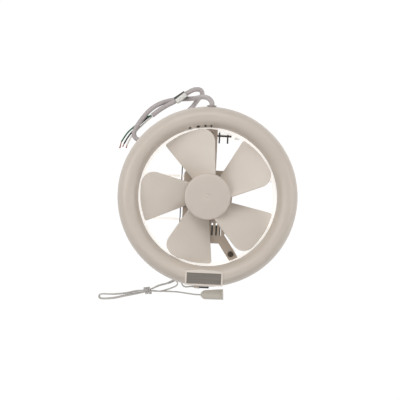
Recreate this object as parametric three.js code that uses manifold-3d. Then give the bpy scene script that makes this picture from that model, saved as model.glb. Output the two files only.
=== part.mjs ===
// A round window exhaust fan with a pull cord, lying on its back.
// Millimetres. +Z points into the room, +Y is the fan's top, z = 0 is the outdoor rim it lies on.
import * as THREE from 'three';
import { mergeVertices } from 'three/addons/utils/BufferGeometryUtils.js';
import Module from 'manifold-3d';

const wasm = await Module();
wasm.setup();

// ---------------------------------------------------------------- driving dimensions

const seat = 0.3; // gap left between two pieces that touch
const running = 1.5; // gap round a turning piece

// Main frame: the sleeve that the air runs through
const sleeveBore = 103;
const sleeveWall = 2;
const sleeveFrontReach = 12.5; // in front of its flange
const sleeveRearReach = 43.6; // behind its flange
const seatLipWidth = 3.5;
const seatLipHeight = 2.5;
const frameFlange = 2.5;
const sleeveOuter = sleeveBore + sleeveWall;
const boltStandOff = 5; // clamp bolts outside the sleeve
const boltCircle = sleeveOuter + boltStandOff;

// Window pane, the seals on both its faces, and the flanges that clamp them
const gasketStandOff = 8; // seals outside the clamp bolts
const gasketInner = boltCircle + gasketStandOff;
const gasketWidth = 12;
const gasketThickness = 2.7;
const paneThickness = 5;
const gasketOuter = gasketInner + gasketWidth;
const clampMargin = 1; // flanges past the seals
const clampRadius = gasketOuter + clampMargin;

// Outdoor hood
const hoodInset = 1.5; // drum in from the edge of its flange
const hoodRadius = clampRadius - hoodInset;
const hoodWall = 2.5;
const hoodDepth = 102; // rim to the back of its flange
const hoodLipWidth = 8;
const hoodFlange = 3;
const hoodFlangeFront = hoodDepth + hoodFlange;
const rearGasketBottom = hoodFlangeFront + seat;
const paneRear = rearGasketBottom + gasketThickness;
const paneFront = paneRear + paneThickness;
const frontGasketTop = paneFront + gasketThickness;
const frameFlangeRear = frontGasketTop + seat;
const frameFlangeFront = frameFlangeRear + frameFlange;
const hollowFloor = frameFlangeFront + seat; // floor of the space inside the front ring
const sleeveFront = frameFlangeFront + sleeveFrontReach;
const sleeveRear = frameFlangeRear - sleeveRearReach;

// Front ring
const ringWall = 2;
const ringGap = 2; // round the clamped flanges
const ringRadius = clampRadius + ringGap + ringWall;
const ringCrestInset = 15.5; // crest to the ring's outer edge
const ringRise = 33; // crest above the top of its skirt
const ringSkirtReach = 2; // skirt behind the frame's flange
const ringSkirtRise = 0.5; // top of the skirt in front of that flange
const ringArcSteps = 4;

// Badge on the ring's crest, at the fan's bottom
const badgeWidth = 50;
const badgeHeight = 15.5;
const badgeThickness = 1.2;
const badgeInset = 15; // its middle in from the ring's edge
const badgeY = badgeInset - ringRadius;
const bezelBorder = 2.5;
const bezelArch = 2.5;
const bezelProud = 1; // above the ring's crest
const bezelDepth = 11;
const bezelWall = 2;

// Impeller
const bladeCount = 5;
const bladeTip = sleeveBore - 2 * running;
const bladeThickness = 1.8;
const bladeFirstAngle = 132; // trailing edge, degrees
const bladeLeadAngle = 39; // from the trailing edge to the direction of the leading edge
const bladeLeadOffset = 11.5; // the leading edge's line passes this far from the axis
const bladeRise = 0.5; // mm toward the room for each degree from the trailing edge
const bladeLeadCorner = 18;
const bladeTrailCorner = 3;
const hubRadius = 34.25;
const hubWall = 2;
const hubHeight = 27.5; // to its shoulder
const hubDome = 4.6;
const hubBossRadius = 7.5;
const hubShaftInset = 1; // shaft's end below the shoulder
const shaftRadius = 3;
const shaftFit = 0.3;

// Motor
const motorRadius = 37.5;
const motorWall = 1.5;
const motorSetBack = 4.3; // behind the frame's flange
const motorFront = frameFlangeRear - motorSetBack;
const motorDepth = 31.7;
const motorRear = motorFront - motorDepth;
const motorRearCapDepth = 16;
const motorSplit = motorRear + motorRearCapDepth;
const bearingRadius = 8;
const bearingHeight = 6;
const bearingPocketWall = 2.2;
const rotorRadius = 16;
const airGap = 0.6;
const statorHeight = 10;
const windingInner = 20;
const windingOuter = 32;
const windingHeight = 5.5;
const motorScrewCircle = 28;

// Motor bracket, a pressed sheet with three legs
const bracketThickness = 2;
const bracketRear = motorFront + seat;
const bracketFront = bracketRear + bracketThickness;
const bracketScrewSeat = bracketFront + seat;
const bracketHalfWidth = 36.6;
const bracketHalfHeight = 40;
const bracketCorner = 8;
const skirtBottom = -70;
const skirtHalfWidth = 20;
const slotLength = 19;
const slotWidth = 2.4;
const slotPitch = 6.2;
const slotCount = 8;
const slotCentreY = -48.5;
const topLegHalfWidth = 11;
const lowLegWidth = 14;
const lowScrew = [38.7, -85.2]; // right-hand lower screw; the left one mirrors it
const topScrewInset = 9; // in from the bore
const topScrewY = sleeveBore - topScrewInset;
const lowLegDirection = -56; // degrees
const tabThickness = 3.7;
const tabWidth = 16;
const tabPastScrew = 7;
const tabInner = topScrewY - tabPastScrew;

// Fasteners
const bracketScrewRadius = 2;
const bracketScrewHead = 4.5;
const bracketScrewHeadHeight = 2.5;
const boltRadius = 2;
const boltHeadRadius = 4;
const boltHeadHeight = 3;
const nutRadius = 4.2;
const nutHeight = 3.2;
const ringScrewRadius = 1.5;
const ringScrewHead = 3.2;
const motorScrewRadius = 1.5;
const motorScrewHead = 3;
const screwHeadHeight = 2;
const holeClearance = 0.4; // on the radius, round every shank

// Gravity shutter behind the sleeve
const leafAxisGap = 2.4; // leaf axes behind the sleeve
const shutterAxisZ = sleeveRear - leafAxisGap;
const leafHingeInset = 7; // top axis in from the sleeve's outside
const leafTopHinge = sleeveOuter - leafHingeInset;
const leafPitch = (leafTopHinge + sleeveBore) / 3;
const leafHinges = [0, 1, 2].map((i) => leafTopHinge - i * leafPitch); // Y of each leaf's axis
const leafNames = ['top', 'middle', 'bottom'];
const leafGap = 2.8; // from one closed leaf to the next
const leafChord = leafPitch - leafGap;
const leafLap = 1; // closed leaves past the sleeve
const leafCircle = sleeveOuter + leafLap; // outline of the three closed leaves
const leafThickness = 1.2;
const leafOffset = 0.6; // the plate lies this far in front of its axis
const leafPin = 2;
const tieX = -41.5;
const tieThickness = 1.6;
const tieHeight = 5;
const tieArm = 24; // down the leaf from its axis to the tie pin
const tieStandOff = 6;
const tiePin = 1.3;
const lugThickness = 1.5;
const lugRadius = 2.5;
const tieSlotMargin = 5; // beyond the tie pin
const tieSlotLength = tieArm + tieSlotMargin;
const hangerInset = 7.7; // in from the bore
const hangerY = sleeveBore - hangerInset;
const hangerSetIn = 3.6; // inside the sleeve's rear end
const hangerZ = sleeveRear + hangerSetIn;
const hangerRod = 1.5;
const hangerArms = [-27.6, -14.7, 14.7, 27.6];
const hangerArmWidth = 2.4;
const hangerArmLength = 11.3;
const hangerArmReach = hangerY - hangerArmLength;

// Electrical pieces
const capacitorSize = [44, 23, 15];
const capacitorY = -54.5;
const leadDiameter = 7.6;
const leadExitRise = 5.6; // above the floor inside the ring
const leadExitZ = hollowFloor + leadExitRise;
const terminalWidth = [-24, 13];
const sleeveStandOff = 4; // terminals and switch outside the sleeve
const terminalLength = 12;
const terminalDepth = [sleeveOuter + sleeveStandOff, sleeveOuter + sleeveStandOff + terminalLength];
const terminalHeight = 12;
const grommetFlange = 7.5;
const grommetWall = 1.2;
const grommetFit = 0.6; // on the radius, round the lead
const flexDiameter = 5;
const switchWidth = [-14, 16];
const switchLength = 17;
const switchDepth = [-sleeveOuter - sleeveStandOff - switchLength, -sleeveOuter - sleeveStandOff];
const switchHeight = 15;
const nozzleWidth = [-6.5, 8.3];
const nozzleProud = 2.2; // outside the ring
const nozzleReach = -ringRadius - nozzleProud;
const nozzleHeight = 7;
const spoutRadius = 2.3;
const spoutBore = 1.5;
const spoutLength = 7.5;
const spoutProud = 0.6; // outside the ring
const spoutY = -ringRadius - spoutProud;
const leverLength = 9;
const leverWidth = 4;
const leverThickness = 2.5;
const leverInset = 7; // pivot in from the switch's inner end
const leverPivotY = switchDepth[1] - leverInset;
const leverPivotRadius = 1.6;

// Cords
const pullCordDiameter = 2.2;
const bellLength = 37;
const bellRadius = 8.9;
const bellWall = 2.2;
const bellNeck = 3;
const bellTaper = 5;
const bellShoulder = 7.4; // radius at the end of its taper
const bellBoreDepth = 25;
const bellMouth = [34.2, -158.5];
const bellNeckEnd = [-2.8, -160.7];
const wireDiameter = 2.6;
const copperDiameter = 1.8;
const labelLength = 20;
const labelWidth = 13;
const labelHeight = 10.6;
const labelFit = 0.7; // on the radius, round the lead
const labelCorner = 2;
const labelSamples = 400; // points tried for its place on the lead
const labelMiddle = new THREE.Vector3(-50, 160.5, 14.4);

// Sides of the round pieces
const largeSides = 44;
const hubSides = 36;
const mediumSides = 24;
const smallSides = 12;

// ---------------------------------------------------------------- derived levels

const ringSkirtBottom = frameFlangeRear - ringSkirtReach;
const ringSkirtTop = frameFlangeFront + ringSkirtRise;
const ringCrestRadius = ringRadius - ringCrestInset;
const ringCrest = ringSkirtTop + ringRise;
const bezelTop = ringCrest + bezelProud;
const ringThroat = sleeveFront + seat;
const hubBottom = bracketFront + 3 * running;
const hubShoulder = hubBottom + hubHeight;
const shaftTop = hubShoulder - hubShaftInset;

// ---------------------------------------------------------------- geometry helpers

const radians = THREE.MathUtils.degToRad;

function polar(radius, degrees) {
  return [radius * Math.cos(radians(degrees)), radius * Math.sin(radians(degrees))];
}

function solid(geometry) {
  const bare = geometry.clone();
  bare.deleteAttribute('normal');
  bare.deleteAttribute('uv');
  const merged = mergeVertices(bare, 1e-4);
  return new wasm.Manifold(new wasm.Mesh({
    numProp: 3,
    vertProperties: new Float32Array(merged.attributes.position.array),
    triVerts: new Uint32Array(merged.index.array),
  }));
}

function geometryOf(manifold) {
  const mesh = manifold.getMesh();
  const geometry = new THREE.BufferGeometry();
  geometry.setAttribute('position', new THREE.BufferAttribute(mesh.vertProperties, 3));
  geometry.setIndex(new THREE.BufferAttribute(mesh.triVerts, 1));
  geometry.computeVertexNormals();
  return geometry;
}

function join(first, ...others) {
  return others.reduce((whole, other) => whole.add(other), first);
}

function cut(first, ...others) {
  return others.reduce((whole, other) => whole.subtract(other), first);
}

// A ring or a body of revolution about Z from a profile of [radius, height] points.
function revolve(profile, sides = largeSides) {
  const doubledArea = profile.reduce((sum, [r, z], i) => {
    const [nextR, nextZ] = profile[(i + 1) % profile.length];
    return sum + r * nextZ - nextR * z;
  }, 0);
  const ordered = doubledArea > 0 ? profile : [...profile].reverse();
  const points = ordered.map(([r, z]) => new THREE.Vector2(r, z));
  points.push(points[0].clone());
  return solid(new THREE.LatheGeometry(points, sides).rotateX(Math.PI / 2));
}

function annulus(inner, outer, bottom, top, sides = largeSides) {
  return revolve([[inner, bottom], [outer, bottom], [outer, top], [inner, top]], sides);
}

function rod(radius, bottom, top, x = 0, y = 0, sides = smallSides) {
  const cylinder = new THREE.CylinderGeometry(radius, radius, top - bottom, sides);
  return solid(cylinder.rotateX(Math.PI / 2).translate(x, y, (bottom + top) / 2));
}

function rodAlongX(radius, left, right, y, z, sides = smallSides) {
  const cylinder = new THREE.CylinderGeometry(radius, radius, right - left, sides);
  return solid(cylinder.rotateZ(Math.PI / 2).translate((left + right) / 2, y, z));
}

function rodAlongY(radius, near, far, x, z, sides = smallSides) {
  const cylinder = new THREE.CylinderGeometry(radius, radius, far - near, sides);
  return solid(cylinder.translate(x, (near + far) / 2, z));
}

function block([left, right], [near, far], [bottom, top]) {
  const box = new THREE.BoxGeometry(right - left, far - near, top - bottom);
  return solid(box.translate((left + right) / 2, (near + far) / 2, (bottom + top) / 2));
}

function outline(points) {
  return new THREE.Shape(points.map(([x, y]) => new THREE.Vector2(x, y)));
}

function roundedRectangle(halfWidth, halfHeight, corner) {
  const shape = new THREE.Shape();
  shape.absarc(halfWidth - corner, halfHeight - corner, corner, 0, Math.PI / 2);
  shape.absarc(corner - halfWidth, halfHeight - corner, corner, Math.PI / 2, Math.PI);
  shape.absarc(corner - halfWidth, corner - halfHeight, corner, Math.PI, 1.5 * Math.PI);
  shape.absarc(halfWidth - corner, corner - halfHeight, corner, 1.5 * Math.PI, 2 * Math.PI);
  return shape;
}

function prism(shape, bottom, top, curveSegments = 5) {
  const options = { depth: top - bottom, bevelEnabled: false, curveSegments };
  return solid(new THREE.ExtrudeGeometry(shape, options).translate(0, 0, bottom));
}

function section(radius, sides) {
  const corners = Array.from({ length: sides }, (_, i) => polar(radius, (360 * i) / sides));
  return outline(corners);
}

function curveThrough(points) {
  return new THREE.CatmullRomCurve3(points.map((p) => new THREE.Vector3(...p)), false, 'centripetal');
}

// A cord or wire along hand-chosen points.
function cord(points, diameter, steps, sides = 8) {
  const options = { steps, bevelEnabled: false, extrudePath: curveThrough(points) };
  return solid(new THREE.ExtrudeGeometry(section(diameter / 2, sides), options));
}

// One unbroken tube with a ring of corners at each of the given points.
function windingTube(points, radius, sides = 6) {
  const tangents = points.map((_, i) => new THREE.Vector3().subVectors(
    points[Math.min(i + 1, points.length - 1)], points[Math.max(i - 1, 0)]).normalize());
  let side = new THREE.Vector3(0, 0, 1).cross(tangents[0]).normalize();
  const position = [];
  const index = [];
  points.forEach((point, i) => {
    side = side.addScaledVector(tangents[i], -side.dot(tangents[i])).normalize();
    const up = new THREE.Vector3().crossVectors(tangents[i], side);
    for (let k = 0; k < sides; k++) {
      const angle = (2 * Math.PI * k) / sides;
      const corner = point.clone()
        .addScaledVector(side, radius * Math.cos(angle))
        .addScaledVector(up, radius * Math.sin(angle));
      position.push(corner.x, corner.y, corner.z);
    }
  });
  const last = (points.length - 1) * sides;
  for (let ring = 0; ring < last; ring += sides) {
    for (let k = 0; k < sides; k++) {
      const next = (k + 1) % sides;
      index.push(ring + k, ring + next, ring + sides + next);
      index.push(ring + k, ring + sides + next, ring + sides + k);
    }
  }
  for (let k = 1; k < sides - 1; k++) {
    index.push(0, k + 1, k);
    index.push(last, last + k, last + k + 1);
  }
  const geometry = new THREE.BufferGeometry();
  geometry.setAttribute('position', new THREE.BufferAttribute(new Float32Array(position), 3));
  geometry.setIndex(index);
  return solid(geometry);
}

// Least clear distance between two stretches of one tube that are not neighbours along it.
function leastSelfGap(points, radius) {
  const spots = [];
  let along = 0;
  points.slice(1).forEach((end, i) => {
    const start = points[i];
    const length = start.distanceTo(end);
    const parts = Math.max(1, Math.ceil(length / (radius / 2)));
    for (let k = 0; k < parts; k++) {
      spots.push({ at: start.clone().lerp(end, k / parts), along: along + (length * k) / parts });
    }
    along += length;
  });
  const apart = 3 * Math.PI * radius;
  let least = Infinity;
  spots.forEach((a, i) => spots.slice(i + 1).forEach((b) => {
    if (b.along - a.along > apart) least = Math.min(least, a.at.distanceTo(b.at));
  }));
  return least - 2 * radius;
}

// ---------------------------------------------------------------- finishes

function finish(color, roughness, metalness = 0) {
  return new THREE.MeshStandardMaterial({ color, roughness, metalness });
}

const ivory = finish(0xc9bfb3, 0.45);
const whitePlastic = finish(0xf2efec, 0.5);
const darkPlastic = finish(0x2b2b2b, 0.5);
const greyRubber = finish(0x4a4a48, 0.8);
const sheetSteel = finish(0x978b7e, 0.5, 0.6);
const brightSteel = finish(0xb9b7b3, 0.35, 0.9);
const darkScrew = finish(0x55504a, 0.4, 0.8);
const copper = finish(0xb8623c, 0.35, 0.9);
const leadGrey = finish(0xb3acae, 0.6);
const stringWhite = finish(0xd8d5d0, 0.9);

const fan = new THREE.Group();

function add(name, shape, material, parent = fan) {
  const mesh = new THREE.Mesh(geometryOf(shape), material);
  mesh.name = name;
  parent.add(mesh);
  return mesh;
}

// ---------------------------------------------------------------- hood, gaskets and main frame

const boltAngles = [0, 120, 240];
const ringScrewAngles = [60, 180, 300];

function holes(angles, circle, radius, bottom, top) {
  return angles.map((angle) => rod(radius, bottom, top, ...polar(circle, angle)));
}

function pinHoles() {
  return leafHinges.map((y) => rodAlongX(
    leafPin + holeClearance, -clampRadius, clampRadius, y, shutterAxisZ));
}

function makeRearHood() {
  const inner = hoodRadius - hoodWall;
  const shell = revolve([
    [hoodRadius - hoodLipWidth, 0], [hoodRadius, 0], [hoodRadius, hoodDepth],
    [clampRadius, hoodDepth], [clampRadius, hoodFlangeFront],
    [sleeveOuter + running, hoodFlangeFront], [sleeveOuter + running, hoodDepth],
    [inner, hoodDepth], [inner, hoodWall], [hoodRadius - hoodLipWidth, hoodWall],
  ]);
  const bolts = holes(boltAngles, boltCircle, boltRadius + holeClearance,
    hoodDepth - 1, hoodFlangeFront + 1);
  return cut(shell, ...bolts, ...pinHoles());
}
add('rear_hood', makeRearHood(), whitePlastic);
add('rear_gasket', annulus(gasketInner, gasketOuter, rearGasketBottom, paneRear), greyRubber);
add('front_gasket', annulus(gasketInner, gasketOuter, paneFront, frontGasketTop), greyRubber);

const flexRoute = [
  [-18, 111, frameFlangeFront], [-18, 110.5, 113], [-18, 107, 109], [-17, 102, 107.5],
  [-15, 96, 105], [-12, 80, 103], [-10, 60, 102], [-9, 44, 101.5], [-8.8, 37.1, 101.5],
];

const screwSpots = [[0, topScrewY], lowScrew, [-lowScrew[0], lowScrew[1]]];

function makeMainFrame() {
  const sleeve = revolve([
    [sleeveBore, sleeveRear], [sleeveOuter + seatLipWidth, sleeveRear],
    [sleeveOuter + seatLipWidth, sleeveRear + seatLipHeight],
    [sleeveOuter, sleeveRear + seatLipHeight], [sleeveOuter, frameFlangeRear],
    [clampRadius, frameFlangeRear], [clampRadius, frameFlangeFront],
    [sleeveOuter, frameFlangeFront], [sleeveOuter, sleeveFront], [sleeveBore, sleeveFront],
  ]);
  const tabTop = bracketRear - seat;
  const tabs = screwSpots.map(([x, y]) => {
    const tab = new THREE.BoxGeometry(sleeveBore + 1 - tabInner, tabWidth, tabThickness);
    tab.translate((sleeveBore + 1 + tabInner) / 2, 0, tabTop - tabThickness / 2);
    return solid(tab.rotateZ(Math.atan2(y, x)));
  });
  const tabHoles = screwSpots.map(([x, y]) => rod(
    bracketScrewRadius + holeClearance, tabTop - tabThickness - 1, tabTop + 1, x, y));
  const flangeHoles = [
    ...holes(boltAngles, boltCircle, boltRadius + holeClearance,
      frameFlangeRear - 1, frameFlangeFront + 1),
    ...holes(ringScrewAngles, boltCircle, ringScrewRadius + holeClearance,
      frameFlangeRear - 1, frameFlangeFront + 1),
  ];
  const flexPassage = cord([[-18, 111, frameFlangeFront + 2], ...flexRoute.slice(1, 6)],
    flexDiameter + 4 * holeClearance, 8);
  return cut(join(sleeve, ...tabs), ...tabHoles, ...flangeHoles, flexPassage);
}
add('main_frame', makeMainFrame(), whitePlastic);

// ---------------------------------------------------------------- front ring and badge

// Quarter ellipses outside and inside the crest, walked from the skirt over to the throat.
function ringSurface(inset) {
  const points = [[ringRadius - inset, ringSkirtBottom]];
  for (let i = 0; i <= ringArcSteps; i++) {
    const angle = (Math.PI / 2) * (i / ringArcSteps);
    points.push([
      ringCrestRadius + (ringRadius - ringCrestRadius - inset) * Math.cos(angle),
      ringSkirtTop + (ringCrest - ringSkirtTop - inset) * Math.sin(angle),
    ]);
  }
  for (let i = 1; i <= ringArcSteps; i++) {
    const angle = (Math.PI / 2) * (i / ringArcSteps);
    points.push([
      ringCrestRadius - (ringCrestRadius - sleeveBore - inset) * Math.sin(angle),
      ringThroat + (ringCrest - ringThroat - inset) * Math.cos(angle),
    ]);
  }
  return points;
}

const bezelHalfWidth = badgeWidth / 2 + bezelBorder;
const bezelHalfHeight = badgeHeight / 2 + bezelBorder;

// The bezel's outline, with its edge toward the hub arched; grow widens it all round.
function bezelOutline(grow) {
  const side = bezelHalfWidth + grow;
  const lower = badgeY - bezelHalfHeight - grow;
  const upper = badgeY + bezelHalfHeight + grow;
  const shape = new THREE.Shape();
  shape.moveTo(-side, lower);
  shape.lineTo(side, lower);
  shape.lineTo(side, upper);
  shape.quadraticCurveTo(0, upper + 2 * bezelArch, -side, upper);
  return shape;
}

function makeFrontRing() {
  const outer = ringSurface(0);
  const shell = revolve([...outer, ...ringSurface(ringWall).reverse()]);
  const filled = revolve([...outer, [sleeveBore, ringSkirtBottom]]);
  const bosses = ringScrewAngles.map((angle) => rod(
    ringScrewHead, hollowFloor, ringCrest, ...polar(boltCircle, angle)).intersect(filled));
  const screwHoles = holes(ringScrewAngles, boltCircle, ringScrewRadius + holeClearance,
    hollowFloor - 1, hollowFloor + 9);
  const badgeWindow = prism(bezelOutline(seat), bezelTop - bezelDepth - seat, bezelTop + 1);
  const leadHole = rodAlongY(leadDiameter / 2 + grommetFit + grommetWall + seat,
    ringCrestRadius, ringRadius + 1, 0, leadExitZ);
  const cordNotch = block([nozzleWidth[0] - spoutLength - 2 * seat, nozzleWidth[1] + seat],
    [-ringRadius - 1, -ringRadius + 4 * ringWall],
    [ringSkirtBottom - 1, hollowFloor + nozzleHeight + seat]);
  return cut(join(shell, ...bosses), ...screwHoles, badgeWindow, leadHole, cordNotch);
}
add('front_ring', makeFrontRing(), ivory);

function makeBezel() {
  const body = prism(bezelOutline(0), bezelTop - bezelDepth, bezelTop);
  const pocket = block(
    [-badgeWidth / 2 - seat, badgeWidth / 2 + seat],
    [badgeY - badgeHeight / 2 - seat, badgeY + badgeHeight / 2 + seat],
    [bezelTop - badgeThickness - seat, bezelTop + 1]);
  const hollow = block(
    [bezelWall - bezelHalfWidth, bezelHalfWidth - bezelWall],
    [badgeY - bezelHalfHeight + bezelWall, badgeY + bezelHalfHeight - bezelWall],
    [bezelTop - bezelDepth - 1, bezelTop - badgeThickness - seat - bezelWall]);
  return cut(body, pocket, hollow);
}
add('badge_bezel', makeBezel(), ivory);
add('badge_plate', block(
  [-badgeWidth / 2, badgeWidth / 2],
  [badgeY - badgeHeight / 2, badgeY + badgeHeight / 2],
  [bezelTop - badgeThickness, bezelTop]), brightSteel);

// ---------------------------------------------------------------- impeller

// How far a rounded tip corner draws the blade's edge in along the tip circle, in millimetres.
function cornerInset(radius, corner) {
  const depth = radius - (bladeTip - corner);
  return depth > 0 ? corner - Math.sqrt(Math.max(0, corner * corner - depth * depth)) : 0;
}

// Angles of one blade's two edges at a radius, counted clockwise from its trailing edge.
function bladeEdges(radius) {
  const toDegrees = 180 / (Math.PI * radius);
  const lead = bladeLeadAngle + THREE.MathUtils.radToDeg(Math.asin(bladeLeadOffset / radius));
  return [
    cornerInset(radius, bladeTrailCorner) * toDegrees,
    lead - cornerInset(radius, bladeLeadCorner) * toDegrees,
  ];
}

function makeBlade(firstAngle) {
  const root = hubRadius - hubWall / 2;
  const radii = [root, 50, 66, 82, 88, 93, 97, 99.2, bladeTip];
  const across = 4;
  const position = [];
  const index = [];
  radii.forEach((radius) => {
    const [start, end] = bladeEdges(radius);
    const slope = bladeRise / radians(radius);
    const half = (bladeThickness / 2) * Math.sqrt(1 + slope * slope);
    for (const face of [1, -1]) {
      for (let k = 0; k <= across; k++) {
        const turn = start + ((end - start) * k) / across;
        const [x, y] = polar(radius, firstAngle - turn);
        position.push(x, y, hubBottom + bladeThickness + bladeRise * turn + face * half);
      }
    }
  });
  const row = across + 1;
  const at = (ring, face, k) => ring * 2 * row + face * row + k;
  const quad = (a, b, c, d) => index.push(a, b, c, a, c, d);
  for (let ring = 0; ring < radii.length - 1; ring++) {
    for (let k = 0; k < across; k++) {
      quad(at(ring, 0, k), at(ring, 0, k + 1), at(ring + 1, 0, k + 1), at(ring + 1, 0, k));
      quad(at(ring, 1, k), at(ring + 1, 1, k), at(ring + 1, 1, k + 1), at(ring, 1, k + 1));
    }
    quad(at(ring, 0, 0), at(ring + 1, 0, 0), at(ring + 1, 1, 0), at(ring, 1, 0));
    quad(at(ring, 0, across), at(ring, 1, across), at(ring + 1, 1, across), at(ring + 1, 0, across));
  }
  const tip = radii.length - 1;
  for (let k = 0; k < across; k++) {
    quad(at(0, 0, k), at(0, 1, k), at(0, 1, k + 1), at(0, 0, k + 1));
    quad(at(tip, 0, k), at(tip, 0, k + 1), at(tip, 1, k + 1), at(tip, 1, k));
  }
  const geometry = new THREE.BufferGeometry();
  geometry.setAttribute('position', new THREE.BufferAttribute(new Float32Array(position), 3));
  geometry.setIndex(index);
  return solid(geometry);
}

function makeImpeller() {
  const inner = hubRadius - hubWall;
  const top = hubShoulder + hubDome;
  const hub = revolve([
    [0, top], [14, top - 0.6], [26, top - 2.1], [32.6, hubShoulder + 0.2],
    [hubRadius, hubShoulder - 3.5], [hubRadius, hubBottom], [inner, hubBottom],
    [inner, hubShoulder - 4.5], [26, top - hubWall - 2.1], [hubBossRadius, top - hubWall - 0.8],
    [hubBossRadius, hubBottom + 2], [shaftRadius + shaftFit, hubBottom + 2],
    [shaftRadius + shaftFit, shaftTop + seat], [0, shaftTop + seat],
  ], hubSides);
  const blades = Array.from({ length: bladeCount }, (_, i) => makeBlade(
    bladeFirstAngle + (360 * i) / bladeCount));
  return join(hub, ...blades);
}
add('impeller', makeImpeller(), ivory);
add('hub_clip', annulus(hubBossRadius + seat, hubBossRadius + 1.7, hubBottom + 3, hubBottom + 6,
  mediumSides), brightSteel);

// ---------------------------------------------------------------- motor

const frontBearingTop = motorFront - motorWall - seat;
const frontBearingBottom = frontBearingTop - bearingHeight;
const rearBearingBottom = motorRear + motorWall + seat;
const rearBearingTop = rearBearingBottom + bearingHeight;
const rotorBottom = rearBearingTop + seat;
const rotorTop = frontBearingBottom - seat;
const statorBottom = (rotorBottom + rotorTop - statorHeight) / 2;
const statorTop = statorBottom + statorHeight;
const motorInner = motorRadius - motorWall;
const pocketInner = bearingRadius + seat;
const pocketOuter = pocketInner + bearingPocketWall;
const shaftHole = shaftRadius + running;
const motorScrewAngles = [45, 225];

add('motor_shaft', rod(shaftRadius, rearBearingBottom, shaftTop), brightSteel);
add('rear_bearing', annulus(shaftRadius + shaftFit, bearingRadius, rearBearingBottom,
  rearBearingTop, mediumSides), brightSteel);
add('front_bearing', annulus(shaftRadius + shaftFit, bearingRadius, frontBearingBottom,
  frontBearingTop, mediumSides), brightSteel);
add('rotor_core', annulus(shaftRadius + shaftFit, rotorRadius, rotorBottom, rotorTop,
  mediumSides), sheetSteel);
add('stator_core', annulus(rotorRadius + airGap, motorInner - seat, statorBottom, statorTop,
  mediumSides), sheetSteel);
add('rear_winding', annulus(windingInner, windingOuter, statorBottom - seat - windingHeight,
  statorBottom - seat, mediumSides), copper);
add('front_winding', annulus(windingInner, windingOuter, statorTop + seat,
  statorTop + seat + windingHeight, mediumSides), copper);
add('motor_rear_cap', revolve([
  [shaftHole, motorRear], [motorRadius, motorRear], [motorRadius, motorSplit],
  [motorInner, motorSplit], [motorInner, motorRear + motorWall],
  [pocketOuter, motorRear + motorWall], [pocketOuter, rearBearingTop],
  [pocketInner, rearBearingTop], [pocketInner, motorRear + motorWall],
  [shaftHole, motorRear + motorWall],
], mediumSides), sheetSteel);

function makeFrontCap() {
  const cap = revolve([
    [shaftHole, motorFront], [motorRadius, motorFront], [motorRadius, motorSplit + seat],
    [motorInner, motorSplit + seat], [motorInner, motorFront - motorWall],
    [pocketOuter, motorFront - motorWall], [pocketOuter, frontBearingBottom],
    [pocketInner, frontBearingBottom], [pocketInner, motorFront - motorWall],
    [shaftHole, motorFront - motorWall],
  ], mediumSides);
  return cut(cap, ...holes(motorScrewAngles, motorScrewCircle, motorScrewRadius + holeClearance,
    motorFront - motorWall - 1, motorFront + 1));
}
add('motor_front_cap', makeFrontCap(), sheetSteel);

// ---------------------------------------------------------------- motor bracket

function makeBracket() {
  const sheet = (shape) => prism(shape, bracketRear, bracketFront);
  const limit = sleeveBore - 2 * seat;
  const plate = sheet(roundedRectangle(bracketHalfWidth, bracketHalfHeight, bracketCorner));
  const skirt = sheet(outline([
    [-bracketHalfWidth, -bracketHalfHeight / 2], [-bracketHalfWidth, -bracketHalfHeight],
    [-skirtHalfWidth, skirtBottom], [skirtHalfWidth, skirtBottom],
    [bracketHalfWidth, -bracketHalfHeight], [bracketHalfWidth, -bracketHalfHeight / 2],
  ]));
  const topLeg = sheet(outline([
    [-topLegHalfWidth, bracketHalfHeight / 2], [topLegHalfWidth, bracketHalfHeight / 2],
    [topLegHalfWidth, sleeveBore], [-topLegHalfWidth, sleeveBore],
  ]));
  const lowLeg = (mirror) => {
    const length = 2 * lowLegWidth + Math.abs(lowScrew[1] - skirtBottom);
    const leg = new THREE.BoxGeometry(length + sleeveBore, lowLegWidth, bracketThickness);
    leg.translate((sleeveBore - length) / 2, 0, (bracketRear + bracketFront) / 2);
    leg.rotateZ(radians(mirror > 0 ? lowLegDirection : 180 - lowLegDirection));
    return solid(leg.translate(mirror * lowScrew[0], lowScrew[1], 0));
  };
  const rim = rod(limit, bracketRear - 1, bracketFront + 1, 0, 0, largeSides);
  const whole = join(plate, skirt, topLeg, lowLeg(1), lowLeg(-1)).intersect(rim);
  const slots = Array.from({ length: slotCount }, (_, i) => {
    const x = (i - (slotCount - 1) / 2) * slotPitch;
    return block([x - slotWidth / 2, x + slotWidth / 2],
      [slotCentreY - slotLength / 2, slotCentreY + slotLength / 2],
      [bracketRear - 1, bracketFront + 1]);
  });
  const screwHoles = screwSpots.map(([x, y]) => rod(
    bracketScrewRadius + holeClearance, bracketRear - 1, bracketFront + 1, x, y));
  const motorHoles = holes(motorScrewAngles, motorScrewCircle, motorScrewRadius + holeClearance,
    bracketRear - 1, bracketFront + 1);
  const middle = rod(shaftHole, bracketRear - 1, bracketFront + 1);
  return cut(whole, ...slots, ...screwHoles, ...motorHoles, middle);
}
add('motor_bracket', makeBracket(), sheetSteel);

// ---------------------------------------------------------------- fasteners

screwSpots.forEach(([x, y], i) => {
  const shankEnd = bracketRear - seat - tabThickness - 2;
  const head = rod(bracketScrewHead, bracketScrewSeat, bracketScrewSeat + bracketScrewHeadHeight, x, y);
  const shank = rod(bracketScrewRadius, shankEnd, bracketScrewSeat + 1, x, y);
  const cross = [[2.6, 0.4], [0.4, 2.6]].map(([halfX, halfY]) => block(
    [x - halfX, x + halfX], [y - halfY, y + halfY],
    [bracketScrewSeat + bracketScrewHeadHeight - 1.2, bracketScrewSeat + bracketScrewHeadHeight + 1]));
  add(`bracket_screw_${i + 1}`, cut(join(head, shank), ...cross), darkScrew);
});

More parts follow.
